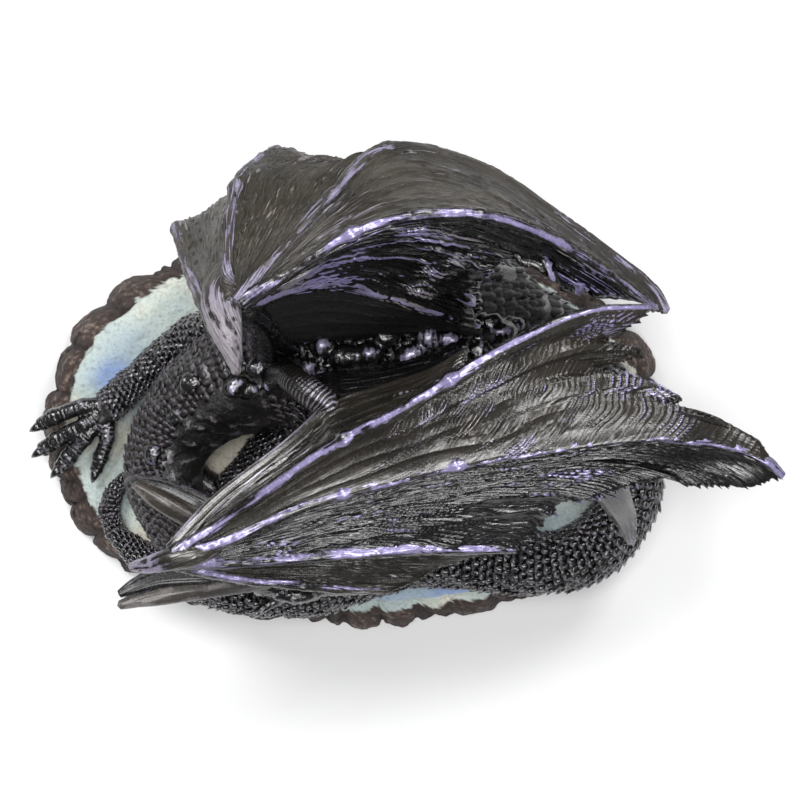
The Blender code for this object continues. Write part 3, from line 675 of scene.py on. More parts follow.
def scale_spots(points, length, width, taper=0.5, bald=(0, 0), lowest=-0.45):
    """Spots for rows of overlapping scales over a limb, kept where the limb shows; within the
    bald run, in mm, its inner side, towards the chest, is left smooth."""
    place, radius, run, ahead, side, top = course(points, 0.5)
    spots, at, row, widest = [], 0.0, 0, radius.max()
    while at < run[-1]:
        i = int(np.searchsorted(run, at))
        i = min(i, len(run) - 1)
        share = (radius[i] / widest) ** taper
        count = max(7, round(math.tau * radius[i] / (width * share * 0.94)))
        for k in range(count):
            angle = math.tau * (k + 0.5 * (row % 2)) / count
            out = side[i] * math.cos(angle) + top[i] * math.sin(angle)
            if out[2] < lowest or (bald[0] < at < bald[1] and math.cos(angle) > 0.05):
                continue
            spot = place[i] + out * radius[i]
            near, facing, _, gap = body_tree.find_nearest(Vector(spot))
            if gap > 1.6 or near.z < 0.6 or facing.dot(Vector(out)) < 0.55:
                continue
            size = (length * share, width * share, 0.85 * width * share)
            lift = Vector(facing) + Vector(ahead[i]) * -0.15
            spots.append((tuple(c / 1000 for c in near), lift, ahead[i], size))
        at += length * share * 0.70
        row += 1
    return spots


def seated(spots):
    """The spots on the dragon where it sits on the rock."""
    return [((x, y, z + SEAT), *rest) for (x, y, z), *rest in spots]


# Satin umber on the neck: browner and drier than the rest, as if dusted.
umber = resin_paint("satin_umber_black_on_resin", "#181512", "#756e8c", "#3d372f", 0.38,
                    plain="#5c544a", pearl=0.1, gloss=0.1, grit=0.7)
neck_spots = scale_spots(NECK + TORSO[:1], *SCALES_NECK, 0.45, bald=(24, 112))
body_spots = scale_spots(TORSO, *SCALES_TORSO, 0.45)
tail_spots = scale_spots(TORSO[-2:] + TAIL, *SCALES_TAIL, 0.5)
for leg, size in zip(legs, SCALES_LIMBS):
    body_spots += scale_spots(leg, size * 1.2, size, 0.4)
# The hip scales that face up under the raised wing take the matt black painted shade.
hip_spots = [s for s in body_spots + tail_spots
             if HIP_FROM < s[0][0] < HIP_TO and s[0][1] > HIP_SIDE and s[1][2] > 0.25]
body_spots, tail_spots = [[s for s in spots if s not in hip_spots]
                          for spots in (body_spots, tail_spots)]
laid("dragon_hip_scales", seated(hip_spots), scale, shade_black, 0.14, 6)
laid("dragon_neck_scales", seated(neck_spots), scale, umber, 0.14, 3)
laid("dragon_body_scales", seated(body_spots), scale, black_enamel, 0.14, 4)
laid("dragon_tail_scales", seated(tail_spots), scale, black_enamel, 0.08, 5)
bpy.data.objects.remove(scale)

ball_form = bmesh.new()
bmesh.ops.create_icosphere(ball_form, subdivisions=3, radius=1.0)
ball_points = np.array([tuple(v.co) for v in ball_form.verts])
ball_faces = [tuple(v.index for v in f.verts) for f in ball_form.faces]
ball_form.free()


def lump(place, out, ahead, size):
    """A rounded lump: its length, width and height lie along ahead, across and out."""
    out = np.asarray(out) / np.linalg.norm(out)
    across = np.cross(out, ahead)
    across /= np.linalg.norm(across)
    axes = np.stack([np.cross(across, out), across, out])
    return (ball_points * size) @ axes + place, ball_faces


def run_along(points, paths):
    """How far each point is along the nearest of the paths, in mm."""
    courses = [course(p, 0.8) for p in paths]
    places, runs = np.vstack([c[0] for c in courses]), np.concatenate([c[2] for c in courses])
    return runs[[np.argmin(((places - p) ** 2).sum(1)) for p in points]]


place, radius, run, ahead, side, top = course(BACKBONE, 0.5)
knobs = []
for order, at in enumerate(KNOBS_AT):
    i = int(np.searchsorted(run, at))
    size = np.interp(at, (60, 100, 120, 190, 226), (3.6, 3.9, 4.8, 4.8, 2.4))
    size *= (1.0, 0.86, 1.05)[order % 3]
    lean = 0.16 * math.sin(order * 2.4) - (0.25 if at < 100 else 0.0)
    out = top[i] * math.cos(lean) + side[i] * math.sin(lean)
    sunk = 0.25 if at < 100 else -0.1
    knobs.append(lump(place[i] + out * (radius[i] - sunk * size), out, ahead[i],
                      np.array((1.25, 1.0, 0.85)) * size))
    if at < 100:
        continue
    for lean in (-0.31, 0.3):                                   # a lesser knob on either side
        j = min(i + 7, len(place) - 1)
        out = top[j] * math.cos(lean) + side[j] * math.sin(lean)
        knobs.append(lump(place[j] + out * (radius[j] - 0.9), out, ahead[i],
                          np.array((1.15, 0.85, 0.75)) * size))
knob_points, knob_faces, knob_out = melted(knobs, 0.7, 2)
knob_run = run_along(knob_points, [BACKBONE])
x, y, z = knob_points.T
wrinkle = np.abs(np.sin(knob_run * math.pi / 1.7 + 1.6 * cloud(x / 4, y / 4, 13)))
dimple = cloud(x / 3.5 + z / 3, y / 3.5, 14, 2)
upper_side = np.clip(knob_out[:, 2], 0, 1)
knob_points = knob_points + knob_out * (0.25 * (wrinkle - 0.6) + 0.4 * dimple)[:, None]
# The rubbed paint is strongest on the knobs' upper sides: partly rubbed pearl, partly a painted
# highlight.
knob_brush = brush_of((0.2 + 0.4 * wrinkle + 0.4 * dimple) * upper_side ** 2, 0.8)
cast_dragon("dragon_backbone_knobs", [(knob_points, knob_faces, knob_brush, None)], black_enamel)


# Paws, cast with the legs. Each toe has narrow raised plates and ends in a short curved claw.
# The outstretched right forepaw lies across the rim; the others rest folded on the snow.

TOES_OUT = [[(-93, 8, 8, 3.6), (-101, 8, 9, 3.0), (-112, 4.2, 6, 3.1), (-118, 0.8, 4, 2.7)],
            [(-94, 6, 8, 3.6), (-101, 1, 9, 3.0), (-111, -4.2, 6, 3.1), (-117.5, -8.6, 4, 2.8)],
            [(-94, 4, 7, 3.4), (-101, -4, 8, 3.0), (-107, -11, 5, 3.1), (-111, -15.5, 4, 2.7)],
            [(-92, 5, 7, 3.2), (-92.5, -4, 7, 2.8), (-95, -11, 5, 2.9), (-97, -16.5, 3.4, 2.4)]]
CLAW_LENGTH = 5.0
PLATE_PITCH = 1.9                                               # mm from plate to plate


def claw_flutes(run, turn, radius):
    flute = 0.06 * np.sin(turn * 6)
    return flute * radius, brush_of(0.15 + run * 0.03, 0.3)


toes = TOES_OUT + [[p if k < 3 else (*p[:3], 2.2) for k, p in enumerate(t)]
                   for t in folded_toes()]
knuckles = [lump(p[:3], (0, 0, 1), (1, 0.3, 0), np.array((1.15, 1.1, 1.1)) * p[3])
            for t in toes for p in (t[1], t[2])]
paw_points, paw_faces, paw_out = melted([limb(t, 0.8, 16) for t in toes] + knuckles, 0.5, 3)
x, y, z = paw_points.T
plate = np.abs(np.sin(run_along(paw_points, toes) * math.pi / PLATE_PITCH
                      + 0.4 * cloud(x / 5, y / 5, 17))) ** 0.6
upper_side = np.clip(paw_out[:, 2] + 0.1, 0, 1)
dimple = cloud(x / 3 + z / 3, y / 3, 18, 2)
paw_points = paw_points + paw_out * (0.5 * (plate - 0.6) * upper_side + 0.15 * dimple)[:, None]
# The plates are rubbed lighter only on their upper sides: partly rubbed pearl, partly a painted
# highlight.
paw_brush = brush_of(0.05 + 0.42 * plate * upper_side + 0.15 * dimple, 0.5)
paw_parts = [(paw_points, paw_faces, paw_brush, None)]
for toe in toes:
    tip, before = np.array(toe[-1][:3], float), np.array(toe[-2][:3], float)
    ahead = (tip - before) / np.linalg.norm(tip - before)
    level = np.array((ahead[0], ahead[1], 0.0)) / np.hypot(ahead[0], ahead[1])
    claw = [(*(tip + level * CLAW_LENGTH * s + (0, 0, rise)), r)
            for s, rise, r in ((-0.1, 0.2, 2.0), (0.3, 1.0, 1.6), (0.65, 0.3, 1.0),
                               (0.92, -1.2, 0.3))]
    paw_parts.append(limb(claw, 0.6, 12, claw_flutes))
cast_dragon("dragon_paws", paw_parts, black_enamel)


# Head, cast with the neck. It lies under the spread wing with its chin on the tail, facing
# right. Two big horns and two thin ears sweep back past the wing to the left; the horns are
# painted bone grey.

SKULL = [(-35, -50, 37, 10.5), (-26, -51, 36.5, 11.6), (-17, -52.5, 34.5, 10.2),
         (-8, -54, 31, 7.6), (2, -55, 28.5, 6.4), (9, -55.5, 27, 5)]
JAW = [(-30, -51, 29, 8.5), (-16, -53, 25.5, 6.6), (-4, -55, 22.5, 4.8), (6, -56, 21, 3.2)]
BROWS = [[(-30, -43, 43, 2.4), (-21, -44, 43.5, 3.2), (-12, -48, 39, 2)],
         [(-28, -60, 42, 2.4), (-19, -60.5, 42.5, 3.2), (-11, -59, 38.5, 2)]]
NOSTRILS = [(8, -52.5, 31), (9, -58.5, 30.5)]
EYES = [(-16, -45.2, 36.6), (-14, -61.0, 36.0)]
CHEEKS = [[(-28, -42, 33, 3), (-38, -35, 34, 1.2)], [(-26, -61, 32, 3), (-36, -68, 33, 1.2)],
          [(-24, -60, 27, 2.6), (-33, -67, 26, 1.1)]]
TEETH = 9                                                       # on each side
HORNS = [[(-35, -44, 46, 4.2), (-48, -37, 51, 4.2), (-60, -31, 54, 4), (-70, -25, 56, 3.4),
          (-78, -20, 58, 1.5)],
         [(-30, -54, 45, 4.2), (-46, -56, 51, 4.2), (-60, -58, 55, 4.2), (-72, -60, 58, 3.6),
          (-83, -63, 61, 1.6)]]
EARS = [[(-38, -40, 44, 2), (-52, -30, 48, 2.1), (-65, -23, 49, 1.8), (-73, -20, 49, 1.2),
         (-78, -18.5, 49, 0.4)],
        [(-33, -51, 48, 2), (-51, -52, 56, 2), (-68, -53, 60, 1.8), (-77, -56, 62, 1.2),
         (-83, -59, 63, 0.4)]]


def ball(place, radius):
    """A small ball for a nostril or an eye."""
    return (ball_points * radius + place, ball_faces, (0.35, 0.2, 0.0), None)


head_parts = [limb(SKULL, 1.0, 32, tall=0.85), limb(JAW, 1.0, 24, tall=0.7)]
head_parts += [limb(p, 0.8, 16) for p in BROWS + CHEEKS] + [ball(p, 2.4) for p in NOSTRILS]
head_points, head_faces, head_out = melted(head_parts, 0.6, 3)
pebbles = []
for p in head_points.tolist():
    near, _ = noise.voronoi(Vector(p) / 2.3)
    pebbles.append(near[1] - near[0])
pebbles = np.clip(pebbles, 0, 0.5) * 2
head_points = head_points + head_out * (pebbles * 0.35)[:, None]
head_brush = brush_of(0.1 + 0.6 * pebbles, 0.4)
teeth = []
for side in (-1, 1):
    for share in np.linspace(0, 1, TEETH).tolist():
        x, y, z = -11 + 18 * share, -54.6 - 0.6 * share, 26.6 - 2.4 * share
        half = 6.6 - 2.9 * share
        tooth = [(x, y + side * half, z + 1.4, 0.75), (x + 0.2, y + side * half, z - 0.2, 0.6),
                 (x + 0.5, y + side * half * 0.97, z - 1.9, 0.15)]
        teeth.append(limb(tooth, 0.7, 7, brush=(0.9, 0.0, 0.0)))
cast_dragon("dragon_head", [(head_points, head_faces, head_brush, None)], black_enamel)

# Eyes of glossy dark amber enamel, the one other colour on the casting.
amber = resin_paint("gloss_amber_enamel", "#2a1406", "#c98a2e", "#2a1406", 0.15)
cast_dragon("dragon_eyes", [ball(p, 2.2) for p in EYES], amber)


def horn_rings(run, turn, radius):
    groove = np.abs(np.sin(turn * 2.5 + run * 0.03 + 1.2 * cloud(run / 11, turn, 21)))
    ring = np.abs(np.sin(run * math.pi / 3.6 + cloud(turn, run / 5, 22))) ** 0.5
    rise = (groove - 0.6) * 0.12 * radius + (ring - 0.7) * 0.3 * np.clip(1 - run / 26, 0, 1)
    worn = np.clip(0.5 + 1.1 * cloud(run / 10, turn * 1.3, 23, 2), 0, 1)
    tip = np.clip(run / 45 - 0.45, 0, 1)
    return rise, brush_of(0.05 + 0.25 * groove + 0.35 * worn + 0.2 * tip, 0.3, 0.4 + tip)


def ear_ribs(run, turn, radius):
    rib = np.abs(np.sin(turn * 4 + 0.4)) ** 2
    edge = np.abs(np.cos(turn)) ** 6
    return (rib - 0.5) * 0.7, brush_of(0.12 * rib + 0.6 * edge, 0.7)


# Satin bone-grey acrylic: dry brown-grey with worn pale ridges, as on real horn.
bone_grey = resin_paint("satin_bone_grey_acrylic_on_resin", "#12100e", "#86818a", "#38312a",
                        0.36, plain="#5a544c", grit=0.7)
cast_dragon("dragon_horns", [limb(h, 0.7, 24, horn_rings) for h in HORNS] + teeth, bone_grey)
cast_dragon("dragon_ears", [limb(e, 0.7, 24, ear_ribs, wide=2.0, tall=0.5) for e in EARS],
            black_skin)


# The raised wing, cast with the body: an arm, a thumb spike and five fingers from one wrist with
# thin skins between them, standing over the back. Black with lavender pearl rubbed over bones
# and creases, and thin and olive on the outer skins, the olive partly a painted sheen.

SKIN_THICKNESS = 2.4                                            # mm
CREASE_PITCH, CREASE_SWAY = 2.2, 1.5                            # mm, pleated skins
BARB_PITCH, BARB_SWAY = 1.5, 1.2                                # mm, skins barbed like a feather
FILLET = 1.9                                                    # mm, from a bone into the skin
COARSE = 3                                                      # the underside's cells, in cells
KNUCKLE_FROM = 3.1                                              # mm, a joint is thicker than this
RAISED_ARM = [(-26, 28, 42, 10), (-31, 35, 64, 8), (-33, 40, 86, 7), (-37, 43, 112, 7)]
RAISED_THUMB = [(-41, 61, 113, 1.5), (-42.5, 53, 116, 4.6), (-43.5, 45, 118, 6.8),
                (-42, 36, 121, 5.8), (-39.6, 27, 122, 3.6), (-38.2, 19.5, 120, 1.4)]
RAISED_FINGERS = [
    [(-44, 34, 119, 4), (-50.5, 45, 107, 3.0), (-57, 58, 84, 2.6), (-62, 71, 66, 3.6),
     (-61, 72, 50, 2.2), (-58, 68, 38, 1.8)],
    [(-40, 44, 122, 4), (-41, 57, 121, 2.7), (-39, 83, 104, 3.7), (-34, 92, 88, 2.5),
     (-27, 98, 72, 3.6), (-22, 97, 54, 2.2), (-18, 92, 40, 1.8)],
    [(-38, 44, 123, 4), (-25, 58, 123, 2.5), (-6, 80, 115, 3.2), (13, 98, 90, 3.6),
     (44, 93, 79, 2.6), (72, 76, 74, 2.4), (93, 61, 70, 2.4), (107, 50, 66, 2.8),
     (112, 42, 64, 2.3)],
    [(-36, 44, 123, 4), (-20, 53, 128, 2.6), (1, 66, 132, 3.9), (20, 72, 130, 2.6),
     (44, 73, 124, 3.2), (63, 68, 115, 2.5), (85, 57, 98, 2.2), (107, 43, 75, 1.9)],
    [(-36, 43, 118, 4), (-20, 49, 108, 3.0), (-7, 50.5, 99, 3.2), (5, 49, 90, 2.9),
     (26, 43, 77, 2.6), (45, 37, 65, 2.2)]]
RAISED_FLANK = [(-30, 30, 46), (-12, 31, 50), (10, 33, 52), (32, 36, 53), (47, 35, 56)]


def skin_sheet(first, second, edge, sag, cell):
    """The middle sheet of a skin, stretched between two fingers and hanging back by sag: its
    points and the way out of them, the shares across and along it, and its width and length
    in mm. edge is the free edge from tip to tip, cell the grid in mm across and along."""
    a, b = [np.array(f, float)[:, :3] for f in (first, second)]
    long = max(np.linalg.norm(np.diff(f, axis=0), axis=1).sum() for f in (a, b))
    cols = max(9, COARSE * round(long / cell[1] / COARSE))
    a, b = smooth_path(a, cols + 1), smooth_path(b, cols + 1)
    wide = np.linalg.norm(a - b, axis=1)
    rim = np.array([a[-1], *[p[:3] for p in edge], b[-1]], float)
    run = np.concatenate([[0], np.cumsum(np.linalg.norm(np.diff(rim, axis=0), axis=1))])
    rows = max(6, COARSE * round(max(wide.max(), 0.8 * run[-1]) / cell[0] / COARSE))
    at = np.linspace(0, run[-1], rows + 1)
    rim = np.stack([np.interp(at, run, column) for column in rim.T], -1)
    s = np.linspace(0, 1, rows + 1)[:, None]
    t = np.linspace(0, 1, cols + 1)[None]
    grid = a[None] * (1 - s[..., None]) + b[None] * s[..., None]
    grid += (rim - (a[-1] * (1 - s) + b[-1] * s))[:, None] * t[..., None] ** 3
    normal = np.cross(np.gradient(grid, axis=0), np.gradient(grid, axis=1))
    normal /= np.maximum(np.linalg.norm(normal, axis=2, keepdims=True), 1e-6)
    if normal[..., 2].sum() < 0:
        normal = -normal
    grid -= normal * (sag * 4 * s * (1 - s) * np.sin(t * math.pi * 0.75))[..., None]
    return grid, normal, s, t, wide, long


def skin_shell(top, under, paint, grain):
    """Close a fine upper face and a coarse underside into one skin, edge to edge."""
    upper = np.arange(top[..., 0].size).reshape(top.shape[:2])
    lower = upper.size + np.arange(under[..., 0].size).reshape(under.shape[:2])
    faces = np.stack([upper[:-1, :-1], upper[1:, :-1], upper[1:, 1:], upper[:-1, 1:]],
                     -1).reshape(-1, 4).tolist()
    faces += np.stack([lower[:-1, :-1], lower[:-1, 1:], lower[1:, 1:], lower[1:, :-1]],
                      -1).reshape(-1, 4).tolist()
    m, n = lower.shape[0] - 1, lower.shape[1] - 1
    loop = ([(i, 0) for i in range(m)] + [(m, j) for j in range(n)]
            + [(i, n) for i in range(m, 0, -1)] + [(0, j) for j in range(n, 0, -1)])
    for (i, j), (k, l) in zip(loop, loop[1:] + loop[:1]):
        fine = [upper[COARSE * i + (k - i) * q, COARSE * j + (l - j) * q]
                for q in range(COARSE, -1, -1)]
        faces.append((lower[i, j], lower[k, l], *fine))
    return (np.vstack([top.reshape(-1, 3), under.reshape(-1, 3)]), faces,
            np.vstack([paint.reshape(-1, 3), paint[::COARSE, ::COARSE].reshape(-1, 3) * 0.8]),
            np.vstack([grain.reshape(-1, 2), grain[::COARSE, ::COARSE].reshape(-1, 2)]))


def wing_skin(first, second, edge=(), sag=0.0, cell=(0.5, 1.2), feather=0.0, pleats=3,
              crease=0.6, lavender=0.5, olive=0.2, shine=0.3, seed=1, ragged=0.6, calm=0.0,
              pits=0.0):
    """A skin with two faces between two fingers. It is pleated from the wrist and creased
    along the fingers, or barbed like a feather: barbs slant out from the second finger with
    feather above 0 and from the first below 0. Each crease ends in a point torn out by
    ragged. crease is the depth of the creases and pits that of small pits in mm, calm the
    share near the wrist that is left smooth. shine, lavender and olive are for the brush."""
    grid, normal, s, t, wide, long = skin_sheet(first, second, edge, sag, cell)
    cols = grid.shape[1] - 1
    along, near = t * long + 0 * s, np.minimum(s, 1 - s) * wide[None]
    spread = np.where(np.arange(cols + 1) < wide.argmax(), wide.max(), wide)[None]
    lean = abs(feather) * np.clip((t - 0.2) / 0.35, 0, 1) * (1 - 0.3 * np.clip(t * 2 - 1, 0, 1))
    slide = np.cumsum(np.sin(lean), axis=1) * long / cols
    fan = (1 - s if feather > 0 else s) * spread
    line = fan * np.cos(lean) - slide + cloud(along / 14, s * 7, seed) * 0.9
    flow = along * np.cos(lean) + fan * np.sin(lean)
    pitch, sway = CREASE_PITCH, CREASE_SWAY
    if feather > 0.3:
        pitch, sway = BARB_PITCH, BARB_SWAY
    wave = math.pi * line / pitch + sway * cloud(line / 7, flow / 22, seed + 8)
    deep = 1 - 1.5 * np.abs(np.sin(wave))
    deep = deep * np.clip(0.8 + 0.9 * cloud(line / 2.7, flow / 26, seed + 1), 0.1, 1.2)
    small = 1 - np.abs(cloud(line / 1.3, flow / 20, seed + 2)) * 2.6
    strength = np.clip(0.75 + 0.7 * cloud(along / 21, s * 5, seed + 5), 0.2, 1.25)
    strength = strength * np.clip((t - calm) / 0.25 + 0.3, 0.15, 1)
    deep = np.clip(deep, 0, 1) ** 1.2 * strength
    small = np.clip(small, 0, 1) ** 1.2 * (0.4 + 0.6 * strength)
    fold = 1 - np.abs(np.sin(math.pi * (s * pleats + 0.3 * cloud(along / 25, s * 4, seed + 4))))
    fold = fold ** 1.4 * (np.clip(1.25 - t * (0.5 + abs(feather)), 0.2, 1))
    crest = 0.95 * deep + 0.2 * small + 0.3 * fold
    bank = np.exp(-(near / FILLET) ** 2)
    rise = crease * ((crest - 0.3 * fold) * np.clip(t / 0.2, 0.2, 1) + 1.1 * fold
                     * np.clip(t * 6, 0.2, 1)) * (1 - 0.6 * bank) + 0.7 * bank
    rise = rise + 0.3 * cloud(along / 13, s * wide.max() / 9, seed + 9) * np.clip(near / 5, 0, 1)
    pit = np.clip(cloud(along / 1.7, s * wide.max() / 1.7, seed + 12) * 3 - 1.7, 0, 1)
    rise = rise - pits * pit
    tip = np.clip((t - 0.93) / 0.07, 0, 1) ** 2
    half = SKIN_THICKNESS / 2 * (1 - 0.45 * tip) + 0 * s
    outward = np.gradient(grid, axis=1)
    outward /= np.maximum(np.linalg.norm(outward, axis=2, keepdims=True), 1e-6)
    torn = (deep[:, -1:] + small[:, -1:] * 0.5 - 0.6) * ragged * 3
    grid += outward * (torn * tip * np.clip(near / 3, 0, 1))[..., None]
    top = grid + normal * (half + rise)[..., None]
    under = (grid - normal * (half + 0.4 * bank)[..., None])[::COARSE, ::COARSE]

    patch = np.clip(0.5 + 0.9 * cloud(along / 24, s * 4, seed + 3), 0, 1)
    rub = shine * crest ** 2.5 * (0.6 + 0.8 * patch) * (0.7 + 0.7 * t) * (1 - 0.6 * bank)
    paint = brush_of(rub + 0.2 * tip - pits * pit,
                     np.clip(lavender * (0.1 + 1.1 * patch) * (0.6 + t), 0, 1),
                     np.clip(olive * (1.2 - 0.5 * patch), 0, 1))
    return skin_shell(top, under, paint, np.stack([line, flow], -1))


def finger(points, thin=0.78, shine=0.6, lavender=0.9, olive=0.2, seed=1, narrow=2.2):
    """A finger bone with a knob at each joint. thin is its girth as a share of the points',
    narrow how narrow the pearl is that is rubbed along its top, partly rubbed paint and
    partly a painted highlight."""
    spots = np.array(points, float)
    joints = [k for k in range(1, len(spots) - 1) if spots[k, 3] > KNUCKLE_FROM]
    run_at = np.concatenate([[0], np.cumsum(np.linalg.norm(np.diff(spots[:, :3], axis=0),
                                                           axis=1))])
    swell = [(run_at[k], spots[k, 3] * 0.82) for k in joints]
    for k in joints:
        spots[k, 3] = (spots[k - 1, 3] + spots[k + 1, 3]) / 2
    spots[1:, 3] *= thin

    def relief(run, turn, radius):
        rise = (0.3 * cloud(run / 6, turn * 1.1, seed, 2)
                + 0.2 * cloud(run / 1.5, turn * 1.8, seed, 2))
        for at, size in swell:
            rise = rise + (size - radius) * np.exp(-((run - at) / 2.2) ** 2)
            rise = rise - 0.3 * np.exp(-((run - at - 4.5) / 1.4) ** 2)
        # Lighter along the top of the bone, where the lamps above catch it: partly rubbed pearl,
        # partly a painted highlight.
        up = np.clip(np.sin(turn), 0, 1)
        rub = np.clip(0.8 + 0.5 * cloud(run / 10, turn * 1.6, seed + 2, 2), 0, 1.1)
        return rise, brush_of((0.1 + shine * 1.15 * up ** narrow) * rub, lavender, olive)

    return limb(spots.tolist(), 0.7, 16, relief)


def spike_streaks(run, turn, radius):
    streak = cloud(run / 10, turn * 3.4, 31, 2)
    tip = np.clip(run / 15 - 1.0, 0, 1)
    root = np.clip(1.7 - run / 15, 0, 1)
    speck = cloud(run / 1.5, turn * 5, 32)
    rub = (0.34 + 0.25 * streak + 0.4 * speck) * (1 - root) + 0.35 * tip
    return 0.25 * streak + 0.15 * speck, brush_of(rub, 0.65 - 0.25 * tip, 0.9 - tip)


def arm_ribs(run, turn, radius):
    rib = np.abs(np.sin(turn * 9 + 0.5 * cloud(run / 6, turn, 33)))
    return (rib - 0.5) * 0.35, brush_of(0.05 + 0.25 * rib, 0.5)


# Pearl paint: black undercoat with lavender pearl rubbed over bones and creases, which gives
# bright metallic threads on black.
pearl = resin_paint("satin_lavender_pearl_over_black_on_resin", "#090808", "#8a82ab",
                    "#2b2721", 0.24, lines=0.2, plain="#8a847c", pearl=0.38, gloss=0.25,
                    grit=0.25, dust=0.35)
# The outer skins are rubbed with drab olive-brown instead, which looks dry and leathery; the
# olive on them is partly a painted sheen, in place of the softboxes' reflection.
drab = resin_paint("matt_drab_olive_over_black_on_resin", "#110f0e", "#857f9a", "#353027", 0.44,
                   lines=0.45, plain="#7b7468", pearl=0.1, gloss=0.05, dust=0.6)

INNER_EDGE = [(87, 48, 92), (78, 51, 96), (73, 54, 99), (66, 56, 100), (59, 58, 100),
              (52, 56, 96), (49, 53, 92), (42, 47, 84), (43, 44, 78)]
outer = [wing_skin(RAISED_FINGERS[0], RAISED_FINGERS[1], [], 3.0, pleats=2, crease=0.7,
                   lavender=0.1, olive=0.9, shine=0.42, seed=41, cell=(0.65, 1.4), pits=1.0),
         wing_skin(RAISED_FINGERS[1], RAISED_FINGERS[2], [(20, 88, 40), (70, 68, 50)], 4.0,
                   pleats=5, crease=1.2, lavender=0.3, olive=0.9, shine=0.5, seed=47,
                   cell=(0.65, 1.4), pits=1.0),
         wing_skin(RAISED_FINGERS[2], RAISED_FINGERS[3], [], 3.0, pleats=4, crease=1.0,
                   lavender=0.6, olive=0.7, shine=0.62, seed=53, cell=(0.65, 1.4), pits=0.4)]
inner = [wing_skin(RAISED_FINGERS[3], RAISED_FINGERS[4], INNER_EDGE, 5.0, pleats=6, crease=1.6,
                   lavender=1.0, olive=0.05, shine=1.4, seed=59, cell=(0.55, 0.9))]
# The hollow skin under the raised wing takes the matt black painted shade.
hollow = [wing_skin(RAISED_FINGERS[4], RAISED_FLANK, [], 0.0, pleats=5, crease=0.6, lavender=0.2,
                    olive=0.0, shine=0.3, seed=65, cell=(0.8, 1.4))]
cast_dragon("raised_wing_inner_skin", inner, pearl)
cast_dragon("raised_wing_hollow_skin", hollow, shade_black)
# For each finger: thin, shine, lavender, olive, seed and narrow.
raised_looks = [(0.95, 0.5, 0.9, 0.8, 50, 0.9), (0.85, 0.55, 0.9, 0.8, 51, 1.4),
                (0.78, 0.55, 0.9, 0.7, 52, 1.8), (0.78, 0.6, 0.9, 0.3, 53, 2.2),
                (0.9, 0.8, 0.8, 0, 54, 1.6)]
raised_bones = [finger(points, *looks) for points, looks in zip(RAISED_FINGERS, raised_looks)]
thumb_root = [(x, y, z - 4 * (k < 2), r) for k, (x, y, z, r) in enumerate(RAISED_THUMB)]
outer += raised_bones[:3] + [limb(thumb_root, 0.7, 36, spike_streaks)]
cast_dragon("raised_wing_outer_skins", outer, drab)
cast_dragon("raised_wing_bones", raised_bones[3:] + [limb(RAISED_ARM, 1.0, 28, arm_ribs)], pearl)


# The spread wing, cast like the raised one but held level over the front, with four fingers.
# Its back skin is barbed like a feather, its edges are torn, and a spur under it runs down to
# the tail.

SPREAD_ARM = [(-25, 19, 40, 10), (-23, 19, 56, 7.5), (-21, 18, 70, 5)]
SPREAD_ELBOW = [(-23, 19, 68, 4.4), (-19, 16, 75, 5), (-13.5, 12.3, 79, 5.1),
                (-8.5, 8.6, 80, 4.7), (-7, 5, 80, 3.8)]
SPREAD_FOREARM = [(-7.5, 7, 80, 3.8), (-11, 2, 81, 4.1), (-22, -7.5, 84, 3.7),
                  (-46, -26, 87, 3.5), (-61, -43, 90, 4.4)]
SPREAD_THUMB = [(-46, -40, 91, 2.6), (-54, -43, 91, 4.4), (-62, -45, 91, 4.2),
                (-70, -47, 89, 3.1), (-77, -48, 86, 1.3)]
SPREAD_FINGERS = [
    [(-61, -43, 91, 3.8), (-47, -34, 94, 2.6), (-26, -19, 101, 2.6), (-2, -3, 109, 3.7),
     (16, 6, 115, 2.6), (34, 17, 119, 3.8), (55, 29, 119, 2.5), (80, 40, 111, 2.3),
     (103, 42, 101, 1.9)],
    [(-61, -44, 91, 3.8), (-42, -38, 93, 2.6), (-21, -28, 95, 2.6), (-2, -22, 97, 3.5),
     (17, -17, 99, 2.7), (37, -12, 101, 4), (66, -7, 101, 2.6), (98, -3, 99, 2.4),
     (117, -3.5, 96, 2.4), (132, -5.5, 92, 2.4), (145, -11, 89, 2.3), (151, -16, 86, 1.9)],
    [(-61, -45, 90, 3.8), (-39, -46, 84, 2.5), (-11, -44, 78, 2.5), (20, -42, 73, 3.7),
     (39, -42, 69, 2.4), (58, -42, 65, 1.9)],
    [(-61, -46, 88, 3.4), (-41, -52, 80, 2.3), (-18, -55, 72, 2.3), (-1, -57, 65, 2),
     (14, -57, 60, 1.8)]]
SPREAD_FOLD = [(-8, 11, 77), (8, 13, 85), (22, 17, 92), (32, 21, 97), (40, 26.5, 99)]
SPREAD_FLANK = [(-20, 20, 48), (-3, 22, 48), (15, 24, 49), (30, 28, 52), (42, 31, 58)]
SPREAD_SPUR = [(89, -14, 84, 5), (91, -19, 74, 6), (95, -26, 62, 5), (99, -33, 48, 3.6),
               (102, -42, 36, 1.2)]
UPPER_EDGE = [(101, 38, 101), (90, 31, 100), (90, 29, 100), (102, 28, 99), (101, 25, 98),
              (88, 20, 98), (88, 15, 98), (102, 17, 98), (108, 15, 98), (117, 10, 97),
              (113, 7, 96), (121, 4, 95), (133, 1, 93), (145, -6.5, 90)]
LOWER_EDGE = [(152, -17, 84), (142, -21, 84), (138, -21, 85), (125, -21, 87), (117, -21, 87),
              (115, -18, 87), (101, -20, 87), (92, -23, 85), (84, -25, 83), (74, -27, 78),
              (70, -32, 73), (67, -36, 70)]
arm_line = [p[:3] for p in reversed(SPREAD_FOREARM)] + SPREAD_FOLD[1:]
